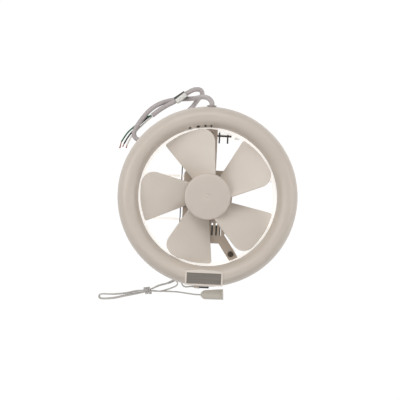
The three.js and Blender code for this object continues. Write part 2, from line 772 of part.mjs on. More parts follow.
motorScrewAngles.forEach((angle, i) => {
  const [x, y] = polar(motorScrewCircle, angle);
  const head = rod(motorScrewHead, bracketScrewSeat, bracketScrewSeat + screwHeadHeight, x, y);
  const shank = rod(motorScrewRadius, motorFront - motorWall - 1, bracketScrewSeat + 1, x, y);
  add(`motor_screw_${i + 1}`, join(head, shank), darkScrew);
});

boltAngles.forEach((angle, i) => {
  const [x, y] = polar(boltCircle, angle);
  const nutTop = hoodDepth - seat;
  const head = rod(boltHeadRadius, hollowFloor, hollowFloor + boltHeadHeight, x, y);
  const shank = rod(boltRadius, nutTop - nutHeight - 2, hollowFloor + 1, x, y);
  const nut = rod(nutRadius, nutTop - nutHeight, nutTop, x, y, 6);
  const bore = rod(boltRadius + seat, nutTop - nutHeight - 1, nutTop + 1, x, y);
  add(`clamp_bolt_${i + 1}`, join(head, shank), brightSteel);
  add(`clamp_nut_${i + 1}`, cut(nut, bore), brightSteel);
});

ringScrewAngles.forEach((angle, i) => {
  const [x, y] = polar(boltCircle, angle);
  const seatLevel = frameFlangeRear - seat;
  const head = rod(ringScrewHead, seatLevel - screwHeadHeight, seatLevel, x, y);
  const shank = rod(ringScrewRadius, seatLevel - 1, hollowFloor + 7, x, y);
  add(`ring_screw_${i + 1}`, join(head, shank), brightSteel);
});

// ---------------------------------------------------------------- shutter

// Half-width of a leaf at a distance down from its axis.
function leafHalfWidth(hingeY, down) {
  const reach = hingeY - down;
  const closed = Math.sqrt(Math.max(0, leafCircle ** 2 - reach ** 2));
  const hanging = Math.sqrt((hoodRadius - hoodWall) ** 2 - hingeY ** 2) - 2 * running;
  return Math.min(closed, hanging);
}

const slotLeft = tieX - tieThickness / 2 - 1;
const slotRight = tieX + tieThickness / 2 + seat;
const lugLeft = slotRight;
const lugRight = lugLeft + lugThickness;

// A leaf is drawn closed, with its axis on the X axis, then hung down and moved to its hinge.
function makeLeaf(hingeY) {
  const steps = 6;
  const stations = Array.from({ length: steps + 1 }, (_, i) => (leafChord * i) / steps);
  const right = stations.map((down) => [leafHalfWidth(hingeY, down), -down]);
  const left = [...right].reverse().map(([x, y]) => [-x, y]);
  const plate = prism(outline([...left, ...right]), leafOffset, leafOffset + leafThickness);
  const pinEnd = Math.sqrt(hoodRadius ** 2 - hingeY ** 2) - seat;
  const pin = rodAlongX(leafPin, -pinEnd, pinEnd, 0, 0);
  const slot = block([slotLeft, slotRight], [-tieSlotLength, 2 * leafPin], [-5, 5]);
  const lug = join(
    block([lugLeft, lugRight], [-tieArm - lugRadius, -tieArm + lugRadius], [leafOffset, tieStandOff]),
    rodAlongX(lugRadius, lugLeft, lugRight, -tieArm, tieStandOff),
    rodAlongX(tiePin, tieX - tieThickness, lugRight, -tieArm, tieStandOff));
  return join(cut(join(plate, pin), slot), lug);
}

leafHinges.forEach((y, i) => {
  const hung = new THREE.Group();
  hung.position.set(0, y, shutterAxisZ);
  hung.rotation.x = Math.PI / 2;
  fan.add(hung);
  add(`shutter_leaf_${leafNames[i]}`, makeLeaf(y), whitePlastic, hung);
});

function makeTieBar() {
  const level = shutterAxisZ - tieArm;
  const pinYs = leafHinges.map((y) => y - tieStandOff);
  const bar = block([tieX - tieThickness / 2, tieX + tieThickness / 2],
    [Math.min(...pinYs) - tieHeight / 2 - 1, Math.max(...pinYs) + tieHeight / 2 + 1],
    [level - tieHeight / 2, level + tieHeight / 2]);
  return cut(bar, ...pinYs.map((y) => rodAlongX(
    tiePin + seat, tieX - tieHeight, tieX + tieHeight, y, level)));
}
add('shutter_tie_bar', makeTieBar(), darkPlastic);

function makeHanger() {
  const limit = sleeveBore - 2 * seat;
  const reach = Math.sqrt(limit ** 2 - (hangerY + hangerRod) ** 2);
  const bar = rodAlongX(hangerRod, -reach, reach, hangerY, hangerZ);
  const arms = hangerArms.map((x) => block(
    [x - hangerArmWidth / 2, x + hangerArmWidth / 2],
    [hangerArmReach, Math.sqrt(limit ** 2 - (Math.abs(x) + hangerArmWidth) ** 2)],
    [hangerZ - hangerRod, hangerZ + hangerRod]));
  return join(bar, ...arms);
}
add('shutter_hanger', makeHanger(), darkPlastic);

// ---------------------------------------------------------------- electrical pieces

const [capacitorWidth, capacitorHeight, capacitorDepth] = capacitorSize;
add('capacitor', block(
  [-capacitorWidth / 2, capacitorWidth / 2],
  [capacitorY - capacitorHeight / 2, capacitorY + capacitorHeight / 2],
  [bracketRear - seat - capacitorDepth, bracketRear - seat]), darkPlastic);

add('terminal_block', block(terminalWidth, terminalDepth,
  [hollowFloor, hollowFloor + terminalHeight]), whitePlastic);
add('motor_flex', cord(flexRoute, flexDiameter, 14), leadGrey);

const grommetSeat = ringRadius + seat;
const grommetFace = grommetSeat + grommetWall;
const grommetBore = leadDiameter / 2 + grommetFit;

function makeGrommet() {
  const body = join(
    rodAlongY(grommetBore + grommetWall, grommetSeat - 3 * ringWall, grommetSeat + 1, 0, leadExitZ),
    rodAlongY(grommetFlange, grommetSeat, grommetFace, 0, leadExitZ));
  return cut(body, rodAlongY(grommetBore, ringCrestRadius, grommetFace + ringWall, 0, leadExitZ));
}
add('lead_grommet', makeGrommet(), leadGrey);
add('lead_inner', rodAlongY(leadDiameter / 2, terminalDepth[1] + seat, ringRadius, 0, leadExitZ),
  leadGrey);

const switchTop = hollowFloor + switchHeight;

function makeSwitch() {
  const body = block(switchWidth, switchDepth, [hollowFloor, switchTop]);
  return join(body, rod(leverPivotRadius, switchTop - 1, switchTop + leverThickness + 1, 0,
    leverPivotY));
}
add('pull_switch', makeSwitch(), whitePlastic);

function makeLever() {
  const bottom = switchTop + seat;
  const top = bottom + leverThickness;
  const body = join(
    rod(leverWidth, bottom, top, 0, leverPivotY),
    block([-leverWidth / 2, leverWidth / 2], [leverPivotY - leverLength, leverPivotY], [bottom, top]));
  return cut(body, rod(leverPivotRadius + holeClearance, bottom - 1, top + 1, 0, leverPivotY));
}
add('switch_lever', makeLever(), darkPlastic);

const nozzleLevel = hollowFloor + nozzleHeight / 2;
add('cord_nozzle', block(nozzleWidth, [nozzleReach, switchDepth[0] - seat],
  [hollowFloor, hollowFloor + nozzleHeight]), darkPlastic);
const spoutEnd = nozzleWidth[0] - seat - spoutLength;
add('cord_spout', cut(
  rodAlongX(spoutRadius, spoutEnd, nozzleWidth[0] - seat, spoutY, nozzleLevel),
  rodAlongX(spoutBore, spoutEnd - 1, nozzleWidth[0] - 3, spoutY, nozzleLevel)), ivory);

// ---------------------------------------------------------------- pull cord

const cordRadius = pullCordDiameter / 2;
const layerLow = cordRadius + 0.4;
const layerHigh = layerLow + pullCordDiameter + 0.6;

// The hank is two loops folded along this spine and whipped at its waist.
const hankSpine = curveThrough([
  [-46, -144.5, 0], [-62, -152, 0], [-78, -155.8, 0], [-92.3, -158.6, 0],
  [-110, -162.4, 0], [-130, -167.2, 0], [-150, -170.6, 0], [-166, -171.4, 0],
]);
const waistShare = 0.375; // of the spine, where the knot lies
const waistReach = 0.04; // of the spine, to each side of the knot
const hankStations = [0, 0.1, 0.22, waistShare - waistReach, waistShare + waistReach, 0.53, 0.68, 0.84, 1];
const waistLift = 3.3;
const waistHalfWidth = 1.45;
const nearLobeHalfWidth = 4.6; // between the knot and the fan
const farLobeHalfWidth = 3.5;
const strandsPart = [0.66, 0.95]; // of the spine: the far loops open out over this stretch
const loopSpread = 0.35; // each strand of the upper loop lies this much further out
const hankLoops = 2;

// Place on the hank: share along the spine, side (+1 toward the fan), half-width and height.
function hankPoint(share, side, halfWidth, height) {
  const centre = hankSpine.getPointAt(share);
  const along = hankSpine.getTangentAt(share);
  const out = new THREE.Vector3(along.y, -along.x, 0).normalize();
  return centre.addScaledVector(out, side * halfWidth).setZ(height);
}

function waistNearness(share) {
  return 1 - THREE.MathUtils.smoothstep(Math.abs(share - waistShare), waistReach, 4 * waistReach);
}

// 1 where the strands lie side by side, 0 in the open loops at both ends.
function closeness(share) {
  return share < waistShare ? waistNearness(share) : 1 - THREE.MathUtils.smoothstep(share, ...strandsPart);
}

function hankPath() {
  const capSteps = 4;
  const climbEnd = 0.2;
  const points = [];
  const width = (share, loop) => THREE.MathUtils.lerp(
    (share < waistShare ? nearLobeHalfWidth : farLobeHalfWidth) + loopSpread * loop,
    waistHalfWidth, closeness(share));
  const run = (shares, side, loop, heightAt) => shares.forEach((share) => points.push(hankPoint(
    share, side, width(share, loop), heightAt(share) + waistLift * waistNearness(share))));
  // Half a turn round the end at the given share, from the given side of the spine.
  const cap = (share, startSide, loop, height) => {
    const centre = hankSpine.getPointAt(share);
    const beyond = hankSpine.getTangentAt(share).multiplyScalar(share > 0.5 ? 1 : -1);
    const start = hankPoint(share, startSide, width(share, loop), 0).sub(centre);
    for (let i = 1; i < capSteps; i++) {
      const angle = (Math.PI * i) / capSteps;
      points.push(centre.clone()
        .addScaledVector(start, Math.cos(angle))
        .addScaledVector(beyond, width(share, loop) * Math.sin(angle))
        .setZ(height));
    }
  };
  const climb = (share) => THREE.MathUtils.lerp(layerHigh, layerLow,
    THREE.MathUtils.smoothstep(share, 0, climbEnd));
  const returning = [...hankStations].reverse();
  for (let loop = 0; loop < hankLoops; loop++) {
    const level = loop ? layerHigh : layerLow;
    run(hankStations.slice(loop ? 0 : 1), 1, loop, () => level);
    cap(1, 1, loop, level);
    if (loop < hankLoops - 1) {
      run(returning, -1, loop, climb);
      cap(0, -1, loop, layerHigh);
    } else {
      run(returning.filter((share) => share > waistShare - 2 * waistReach), -1, loop, () => level);
    }
  }
  return points;
}

const hankPoints = hankPath();
console.log('pull_cord_hank: least gap to itself', leastSelfGap(hankPoints, cordRadius).toFixed(2), 'mm');
add('pull_cord_hank', windingTube(hankPoints, cordRadius), stringWhite);

// The knot is whipped round the waist as a short helix.
function knotPath() {
  const turns = 2.5;
  const steps = 24;
  const radius = Math.hypot(waistHalfWidth, (layerHigh - layerLow) / 2) + 2 * cordRadius + 0.65;
  const centre = hankSpine.getPointAt(waistShare)
    .setZ((layerLow + layerHigh) / 2 + waistLift);
  const along = hankSpine.getTangentAt(waistShare);
  const out = new THREE.Vector3(along.y, -along.x, 0).normalize();
  const pitch = pullCordDiameter + 0.5;
  return Array.from({ length: turns * steps + 1 }, (_, i) => {
    const angle = (2 * Math.PI * i) / steps;
    return centre.clone()
      .addScaledVector(along, pitch * (i / steps - turns / 2))
      .addScaledVector(out, radius * Math.cos(angle))
      .add(new THREE.Vector3(0, 0, radius * Math.sin(angle)));
  });
}
const knotPoints = knotPath();
console.log('pull_cord_knot: least gap to itself', leastSelfGap(knotPoints, cordRadius).toFixed(2), 'mm');
add('pull_cord_knot', windingTube(knotPoints, cordRadius), stringWhite);

const hankStart = hankPoints[0];
const hankStartHeading = hankPoints[1].clone().sub(hankPoints[0]).normalize();
const hankEnd = hankPoints[hankPoints.length - 1];
const hankEndHeading = hankEnd.clone().sub(hankPoints[hankPoints.length - 2]).normalize();

// A point before or after an end of the hank, along the cord's own direction.
function beside(point, heading, distance) {
  return point.clone().addScaledVector(heading, distance).toArray();
}

const pullCordRoute = [
  [spoutEnd - seat, spoutY, nozzleLevel], [-19, spoutY, nozzleLevel - 0.5], [-25, -137.6, 112],
  [-30.5, -139.4, 84], [-34, -138.8, 46], [-36.5, -136.8, 18], [-39, -136, 5], [-43.5, -138.6, 1.6],
  beside(hankStart, hankStartHeading, -6), beside(hankStart, hankStartHeading, -seat),
];
add('pull_cord', cord(pullCordRoute, pullCordDiameter, 24), stringWhite);

const bellCentreZ = bellRadius + 0.2;
const tailRoute = [
  beside(hankEnd, hankEndHeading, seat), beside(hankEnd, hankEndHeading, 4),
  [-72, -158.6, 5.6], [-62, -158.2, 5.2], [-51, -158.4, 3], [-38.8, -158.9, 1.6],
  [-25.5, -160.2, 1.9], [-13, -161, 5.4],
  [bellNeckEnd[0] - 5, bellNeckEnd[1], bellCentreZ], [bellNeckEnd[0] - seat, bellNeckEnd[1], bellCentreZ],
];
add('pull_cord_tail', cord(tailRoute, pullCordDiameter, 18), stringWhite);

function makeBell() {
  const inner = bellRadius - bellWall;
  return revolve([
    [0, 0], [bellNeck, 0], [bellNeck + 1.4, 0.8], [bellShoulder - 0.9, bellTaper - 1],
    [bellShoulder, bellTaper + 1], [bellRadius, bellLength - 0.6], [bellRadius - 0.6, bellLength],
    [inner, bellLength], [inner, bellLength - bellBoreDepth], [0, bellLength - bellBoreDepth],
  ], mediumSides);
}
const bellTurn = new THREE.Group();
bellTurn.position.set(bellNeckEnd[0], bellNeckEnd[1], bellCentreZ);
bellTurn.rotation.set(0, Math.PI / 2, Math.atan2(bellMouth[1] - bellNeckEnd[1],
  bellMouth[0] - bellNeckEnd[0]), 'ZYX');
fan.add(bellTurn);
add('pull_bell', makeBell(), ivory, bellTurn);

// ---------------------------------------------------------------- power lead

const leadRoute = [
  [0, ringRadius + seat, leadExitZ], [0, 140.4, leadExitZ], [-3.6, 146.6, 117], [-9.5, 151.8, 98],
  [-15.5, 155.8, 68], [-22, 158.3, 37], [-29, 159.7, 15], [-36.5, 160, 5.8], [-45, 159.4, 4.3],
  [-54, 158.3, 4.2], [-66, 156.2, 4.2], [-79, 152.2, 4.4], [-91, 145.7, 6], [-101, 137.3, 8],
  [-109.6, 126.8, 8.3], [-117.2, 115.5, 8.1], [-122.5, 105.5, 7.9], [-124.6, 98, 7.4],
  [-121.5, 91.2, 6.2], [-112.5, 88.6, 4.6], [-100, 96, 4.2], [-83, 110.5, 4.2], [-63, 123.5, 4.2],
  [-43.5, 135, 4.2], [-30.8, 147, 4.2], [-21.8, 159.8, 4.2], [-15.4, 168, 5], [-18.4, 175, 7.2],
  [-28, 175, 11], [-38, 169.4, 13.8], [-50, 160.5, 14.4], [-60.8, 153, 13.2], [-71.5, 147.3, 10.2],
  [-84, 139.4, 6.4], [-96, 129.8, 4.4],
];
add('power_lead', cord(leadRoute, leadDiameter, 46), leadGrey);

// The three wires leave the sheath side by side; each ends in a short bare strand.
const wireRoutes = {
  black: [[-97.8, 130.3, 3.3], [-105, 124.6, 2], [-113, 117.3, 1.6], [-121, 109, 1.6],
    [-129, 100.5, 1.6], [-135.5, 91, 1.6], [-140.5, 81.5, 1.6]],
  white: [[-96.2, 128, 3.3], [-103.5, 121.6, 2], [-111.8, 113.6, 1.6], [-119.6, 105.6, 1.6],
    [-127, 97, 1.6], [-132, 88, 1.6], [-135.6, 79.5, 1.6]],
  green: [[-97.1, 129.2, 6], [-103.4, 127.6, 4.9], [-110, 123.6, 2.4], [-117, 117.4, 1.6],
    [-124.6, 110.8, 1.6], [-135.5, 99.8, 1.6], [-145, 84.6, 1.6]],
};
const wireFinish = {
  black: darkPlastic, white: finish(0xe6e2da, 0.5), green: finish(0x1f6a4d, 0.5),
};
const strandEnds = { black: [-142.6, 76.4, 1.6], white: [-136.8, 74.5, 1.6], green: [-147.4, 73.6, 1.6] };
Object.entries(wireRoutes).forEach(([colour, route]) => {
  const end = new THREE.Vector3(...route[route.length - 1]);
  const tip = new THREE.Vector3(...strandEnds[colour]);
  const start = end.clone().add(tip.clone().sub(end).setLength(seat)).toArray();
  add(`wire_${colour}`, cord(route, wireDiameter, 10), wireFinish[colour]);
  add(`strand_${colour}`, cord([start, strandEnds[colour]], copperDiameter, 1), copper);
});

// The label is folded round the lead where it crosses over its own first turn.
function makeLabel() {
  const curve = curveThrough(leadRoute);
  const shares = Array.from({ length: labelSamples + 1 }, (_, i) => i / labelSamples);
  const nearest = shares.reduce((best, share) => (
    curve.getPointAt(share).distanceTo(labelMiddle) < curve.getPointAt(best).distanceTo(labelMiddle)
      ? share : best));
  const half = labelLength / 2 / curve.getLength();
  const stations = [-half, -half / 2, 0, half / 2, half].map(
    (offset) => curve.getPointAt(nearest + offset).toArray());
  const wrap = new THREE.ExtrudeGeometry(
    roundedRectangle(labelHeight / 2, labelWidth / 2, labelCorner),
    { steps: 4, bevelEnabled: false, extrudePath: curveThrough(stations), curveSegments: 3 });
  const start = new THREE.Vector3(...stations[0]);
  const end = new THREE.Vector3(...stations[stations.length - 1]);
  const inward = new THREE.Vector3().subVectors(end, start).normalize();
  const bore = [start.addScaledVector(inward, -1).toArray(), ...stations.slice(1, -1),
    end.addScaledVector(inward, 1).toArray()];
  return cut(solid(wrap), cord(bore, leadDiameter + 2 * labelFit, 6, 10));
}
add('lead_label', makeLabel(), whitePlastic);

export default fan;
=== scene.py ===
# A round window exhaust fan lying on its back, with its pull cord and its power lead laid out beside it.
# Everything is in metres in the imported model's frame; sizes are written in millimetres and scaled by MM.
import math

import bpy
import bmesh
from mathutils import Matrix, Vector


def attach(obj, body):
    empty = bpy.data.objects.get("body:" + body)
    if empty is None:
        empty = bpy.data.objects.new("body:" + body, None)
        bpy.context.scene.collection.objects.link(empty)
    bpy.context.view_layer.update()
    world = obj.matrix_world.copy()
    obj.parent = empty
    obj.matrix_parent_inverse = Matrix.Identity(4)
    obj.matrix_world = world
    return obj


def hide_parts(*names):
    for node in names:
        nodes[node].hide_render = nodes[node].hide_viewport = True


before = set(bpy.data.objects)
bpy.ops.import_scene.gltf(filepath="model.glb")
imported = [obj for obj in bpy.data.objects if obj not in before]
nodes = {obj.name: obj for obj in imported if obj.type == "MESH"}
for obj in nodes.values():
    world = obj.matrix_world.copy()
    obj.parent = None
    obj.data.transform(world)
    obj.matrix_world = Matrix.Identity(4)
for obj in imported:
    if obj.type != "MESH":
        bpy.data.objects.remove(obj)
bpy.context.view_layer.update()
scene = bpy.context.scene
MM = 0.001

# ---------------------------------------------------------------- studio
# The fan lies on a white table and is seen from straight above by a long lens, a little to the left of
# its axis and turned by 2.7 degrees. Four soft lamps round it and a pale room light it evenly.

scene.view_settings.view_transform = "Standard"

lens = bpy.data.cameras.new("overhead_camera")
lens.sensor_width = 36.0
lens.lens = 71.8
lens.clip_start = 0.05
lens.clip_end = 30.0
camera = bpy.data.objects.new("overhead_camera", lens)
camera.location = (-0.011, -0.0055, 1.318)
camera.rotation_euler = (0.0, 0.0, math.radians(2.7))
scene.collection.objects.link(camera)
scene.camera = camera


def sees_white(tree):
    """A socket that is 1 for rays from the camera, a mirror or a clear piece, and 0 for light rays."""
    path = tree.nodes.new("ShaderNodeLightPath")
    first = tree.nodes.new("ShaderNodeMath")
    first.operation = "MAXIMUM"
    tree.links.new(path.outputs["Is Camera Ray"], first.inputs[0])
    tree.links.new(path.outputs["Is Glossy Ray"], first.inputs[1])
    second = tree.nodes.new("ShaderNodeMath")
    second.operation = "MAXIMUM"
    tree.links.new(first.outputs[0], second.inputs[0])
    tree.links.new(path.outputs["Is Transmission Ray"], second.inputs[1])
    return second.outputs[0]


world = bpy.data.worlds.new("pale_room")
world.use_nodes = True
scene.world = world
room = world.node_tree
room_light = room.nodes["Background"]
room_light.inputs["Color"].default_value = (1.0, 0.985, 0.965, 1.0)
room_light.inputs["Strength"].default_value = 0.3
room_seen = room.nodes.new("ShaderNodeBackground")
room_seen.inputs["Color"].default_value = (1.0, 1.0, 1.0, 1.0)
room_seen.inputs["Strength"].default_value = 1.0
room_mix = room.nodes.new("ShaderNodeMixShader")
room.links.new(sees_white(room), room_mix.inputs["Fac"])
room.links.new(room_light.outputs[0], room_mix.inputs[1])
room.links.new(room_seen.outputs[0], room_mix.inputs[2])
room.links.new(room_mix.outputs[0], room.nodes["World Output"].inputs["Surface"])

table_finish = bpy.data.materials.new("white_table")
table_finish.use_nodes = True
table = table_finish.node_tree
table.nodes.remove(table.nodes["Principled BSDF"])
table_white = table.nodes.new("ShaderNodeBsdfDiffuse")
table_white.inputs["Color"].default_value = (0.65, 0.65, 0.65, 1.0)
table_backlight = table.nodes.new("ShaderNodeEmission")
table_backlight.inputs["Color"].default_value = (1.0, 0.99, 0.98, 1.0)
table_backlight.inputs["Strength"].default_value = 0.15
table_lit = table.nodes.new("ShaderNodeAddShader")
table_shaded = table.nodes.new("ShaderNodeBsdfDiffuse")
table_shaded.inputs["Color"].default_value = (0.06, 0.06, 0.06, 1.0)
table_glow = table.nodes.new("ShaderNodeEmission")
table_glow.inputs["Color"].default_value = (1.0, 1.0, 1.0, 1.0)
table_glow.inputs["Strength"].default_value = 0.985
table_seen = table.nodes.new("ShaderNodeAddShader")
table_mix = table.nodes.new("ShaderNodeMixShader")
table.links.new(table_white.outputs[0], table_lit.inputs[0])
table.links.new(table_backlight.outputs[0], table_lit.inputs[1])
table.links.new(table_shaded.outputs[0], table_seen.inputs[0])
table.links.new(table_glow.outputs[0], table_seen.inputs[1])
table.links.new(sees_white(table), table_mix.inputs["Fac"])
table.links.new(table_lit.outputs[0], table_mix.inputs[1])
table.links.new(table_seen.outputs[0], table_mix.inputs[2])
table.links.new(table_mix.outputs[0], table.nodes["Material Output"].inputs["Surface"])

bm = bmesh.new()
bmesh.ops.create_grid(bm, x_segments=2, y_segments=2, size=4.0)
bmesh.ops.translate(bm, verts=bm.verts, vec=(0.0, 0.0, -0.3 * MM))
table_mesh = bpy.data.meshes.new("table_top")
bm.to_mesh(table_mesh)
bm.free()
table_mesh.materials.append(table_finish)
table_top = bpy.data.objects.new("table_top", table_mesh)
scene.collection.objects.link(table_top)

for lamp_name, spot, width, watts in (
        ("left_lamp", (-0.85, 0.15, 0.95), 0.7, 4.8),
        ("far_lamp", (-0.1, 1.0, 1.2), 0.9, 7.6),
        ("right_lamp", (1.1, 0.1, 0.45), 0.7, 3.8),
        ("near_lamp", (0.1, -1.0, 1.1), 0.9, 4.0)):
    glow = bpy.data.lights.new(lamp_name, "AREA")
    glow.shape = "SQUARE"
    glow.size = width
    glow.energy = watts
    glow.color = (1.0, 0.985, 0.96)
    lamp = bpy.data.objects.new(lamp_name, glow)
    lamp.location = spot
    lamp.rotation_euler = (Vector(spot) - Vector((0.0, 0.0, 0.1))).to_track_quat("Z", "Y").to_euler()
    scene.collection.objects.link(lamp)

# ---------------------------------------------------------------- power lead
# A round three-core lead in grey PVC. It leaves the ring's top, drops to the table, swings round to the
# left and back beside the ring, turns over itself and ends where the sheath is stripped off its cores.


def shade(red, green, blue):
    """A colour as it looks on screen, 0 to 255, as the linear colour that a shader takes."""
    linear = []
    for level in (red, green, blue):
        level /= 255.0
        linear.append(level / 12.92 if level <= 0.04045 else ((level + 0.055) / 1.055) ** 2.4)
    return (*linear, 1.0)


def tinted(colour, factor):
    return (*(min(1.0, level * factor) for level in colour[:3]), 1.0)


def moulded(name, colour, roughness=0.42, mottle=0.03, grain=0.06, grain_size=0.7, metallic=0.0):
    """Moulded plastic or rubber: faint mottling, uneven gloss and a fine grain from the mould's wall."""
    finish = bpy.data.materials.new(name)
    finish.use_nodes = True
    tree = finish.node_tree
    shader = tree.nodes["Principled BSDF"]
    shader.inputs["Metallic"].default_value = metallic
    place = tree.nodes.new("ShaderNodeTexCoord")

    def noise(size, detail):
        cloud = tree.nodes.new("ShaderNodeTexNoise")
        cloud.inputs["Scale"].default_value = 1.0 / (size * MM)
        cloud.inputs["Detail"].default_value = detail
        tree.links.new(place.outputs["Object"], cloud.inputs["Vector"])
        return cloud.outputs["Fac"]

    tones = tree.nodes.new("ShaderNodeValToRGB")
    tones.color_ramp.elements[0].position = 0.3
    tones.color_ramp.elements[0].color = tinted(colour, 1.0 - mottle)
    tones.color_ramp.elements[1].position = 0.7
    tones.color_ramp.elements[1].color = tinted(colour, 1.0 + mottle)
    tree.links.new(noise(38.0, 3.0), tones.inputs["Fac"])
    tree.links.new(tones.outputs["Color"], shader.inputs["Base Color"])
    gloss = tree.nodes.new("ShaderNodeMapRange")
    gloss.inputs["To Min"].default_value = roughness - 0.05
    gloss.inputs["To Max"].default_value = roughness + 0.05
    tree.links.new(noise(14.0, 2.0), gloss.inputs["Value"])
    tree.links.new(gloss.outputs["Result"], shader.inputs["Roughness"])
    bump = tree.nodes.new("ShaderNodeBump")
    bump.inputs["Strength"].default_value = grain
    bump.inputs["Distance"].default_value = 0.1 * MM
    tree.links.new(noise(grain_size, 2.0), bump.inputs["Height"])
    tree.links.new(bump.outputs["Normal"], shader.inputs["Normal"])
    return finish


def smooth_route(points, steps):
    """The smooth line through given points, in metres, with so many steps from each to the next."""
    knots = [Vector(point) * MM for point in points]
    knots = [2 * knots[0] - knots[1]] + knots + [2 * knots[-1] - knots[-2]]
    line = [knots[1]]
    for before, start, end, after in zip(knots, knots[1:], knots[2:], knots[3:]):
        first, middle, last = (math.sqrt((b - a).length) for a, b in (
            (before, start), (start, end), (end, after)))
        leave = ((start - before) / first - (end - before) / (first + middle)
                 + (end - start) / middle) * middle
        arrive = ((end - start) / middle - (after - start) / (middle + last)
                  + (after - end) / last) * middle
        for step in range(1, steps + 1):
            t = step / steps
            line.append(start + leave * t + (3 * (end - start) - 2 * leave - arrive) * t * t
                        + (2 * (start - end) + leave + arrive) * t ** 3)
    return line


def length_of(line):
    return sum((b - a).length for a, b in zip(line, line[1:]))


def tube(name, lines, radius, sides, finish):
    """A round tube along one line, or a bundle of tubes along several. Its UV map holds the distance
    travelled, in millimetres, and the share of a turn round the tube."""
    curve = bpy.data.curves.new(name, "CURVE")
    curve.dimensions = "3D"
    curve.bevel_depth = radius
    curve.bevel_resolution = sides // 2 - 2
    curve.use_fill_caps = True
    for line in lines:
        spline = curve.splines.new("POLY")
        spline.points.add(len(line) - 1)
        for knot, spot in zip(spline.points, line):
            knot.co = (*spot, 1.0)
    drawn = bpy.data.objects.new(name + "_line", curve)
    scene.collection.objects.link(drawn)
    bpy.context.view_layer.update()
    made = bpy.data.meshes.new_from_object(drawn.evaluated_get(bpy.context.evaluated_depsgraph_get()))
    bpy.data.objects.remove(drawn)
    made.name = name
    travelled = []
    for line in lines:
        travelled.append(0.0)
        for start, end in zip(line, line[1:]):
            travelled.append(travelled[-1] + (end - start).length)
    in_end_caps = 2 * sides * len(lines)
    for corner in made.loops:
        if corner.vertex_index >= in_end_caps:
            station = (corner.vertex_index - in_end_caps) // sides
            made.uv_layers[0].data[corner.index].uv.x = travelled[station] / MM
    for face in made.polygons:
        face.use_smooth = True
    made.set_sharp_from_angle(angle=math.radians(50.0))
    made.materials.clear()
    made.materials.append(finish)
    piece = bpy.data.objects.new(name, made)
    scene.collection.objects.link(piece)
    return piece


def stands_for(piece, slot, *cad_nodes, body="frame"):
    """The piece takes the place of these nodes and rides on a body; the slot argument is not used."""
    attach(piece, body)
    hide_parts(*cad_nodes)


lead_radius = 3.8 * MM
lead_grey = moulded("lead_grey", shade(180, 173, 174), roughness=0.5, mottle=0.03, grain=0.05)
lead_line = smooth_route([
    (0, 135.3, 124.4), (0, 140.4, 124.4), (-3.6, 146.6, 117), (-9.5, 151.8, 98), (-15.5, 155.8, 68),
    (-22, 158.3, 37), (-29, 159.7, 15), (-36.5, 160, 5.8), (-45, 159.4, 4.3), (-54, 158.3, 4.2),
    (-66, 156.2, 4.2), (-79, 152.2, 4.4), (-91, 145.7, 6), (-101, 137.3, 8), (-109.6, 126.8, 8.3),
    (-117.2, 115.5, 8.1), (-122.5, 105.5, 7.9), (-124.6, 98, 7.4), (-121.5, 91.2, 6.2),
    (-112.5, 88.6, 4.6), (-100, 96, 4.2), (-83, 110.5, 4.2), (-63, 123.5, 4.2), (-43.5, 135, 4.2),
    (-30.8, 147, 4.2), (-21.8, 159.8, 4.2), (-15.4, 168, 5), (-18.4, 174.8, 7.2), (-28, 174.8, 11),
    (-38, 169.4, 13.8), (-50, 160.5, 14.4), (-60.8, 153, 13.2), (-71.5, 147.3, 10.2),
    (-84, 139.4, 6.4), (-96, 129.8, 4.4)], 8)
power_lead = tube("power_lead_sheath", [lead_line], lead_radius, 20, lead_grey)
stands_for(power_lead, "lead_grey", "power_lead")

# The three cores leave the stripped sheath side by side. Each is a PVC-covered wire that ends in a
# short fan of bare copper filaments.
core_routes = {
    "black": [(-97.8, 130.3, 3.3), (-105, 124.6, 2), (-113, 117.3, 1.6), (-121, 109, 1.6),
              (-129, 100.5, 1.6), (-135.5, 91, 1.6), (-140.5, 81.5, 1.6)],
    "white": [(-96.2, 128, 3.3), (-103.5, 121.6, 2), (-111.8, 113.6, 1.6), (-119.6, 105.6, 1.6),
              (-127, 97, 1.6), (-132, 88, 1.6), (-135.6, 79.5, 1.6)],
    "green": [(-97.1, 129.2, 6), (-103.4, 127.6, 4.9), (-110, 123.6, 2.4), (-117, 117.4, 1.6),
              (-124.6, 110.8, 1.6), (-135.5, 99.8, 1.6), (-145, 84.6, 1.6)],
}
strand_tips = {"black": (-142.6, 76.4, 1.6), "white": (-136.8, 74.5, 1.6), "green": (-147.4, 73.6, 1.6)}
core_colours = {"black": shade(34, 34, 36), "white": shade(226, 221, 214), "green": shade(24, 92, 66)}
copper = moulded("bare_copper", shade(146, 66, 44), roughness=0.45, mottle=0.12, grain=0.02, metallic=0.15)
filament_radius = 0.27 * MM
for colour, route in core_routes.items():
    core_line = smooth_route(route, 5)
    core = tube("core_" + colour, [core_line], 1.3 * MM, 14,
                moulded("core_" + colour, core_colours[colour], roughness=0.3, mottle=0.06, grain=0.02))
    stands_for(core, "wire_" + colour, "wire_" + colour)
    root, tip = Vector(route[-1]), Vector(strand_tips[colour])
    along = (tip - root).normalized()
    across = along.cross(Vector((0, 0, 1))).normalized()
    filaments = []
    for index in range(9):
        turn = math.radians(40 * index)
        ring = 0.0 if index == 8 else 0.58
        filaments.append([
            (root + along * ((tip - root).length * share)
             + (across * math.cos(turn + 1.4 * share) + Vector((0, 0, 1)) * math.sin(turn + 1.4 * share))
             * ring * (1.0 + 0.45 * share * share)) * MM
            for share in (0.0, 0.2, 0.4, 0.6, 0.8, 1.0)])
    strand = tube("strand_of_" + colour, filaments, filament_radius, 8, copper)
    stands_for(strand, "copper", "strand_" + colour)

# A paper label folded round the lead where it crosses over its own first turn: a dark band above a
# white field, left bare. Its two ends are open.


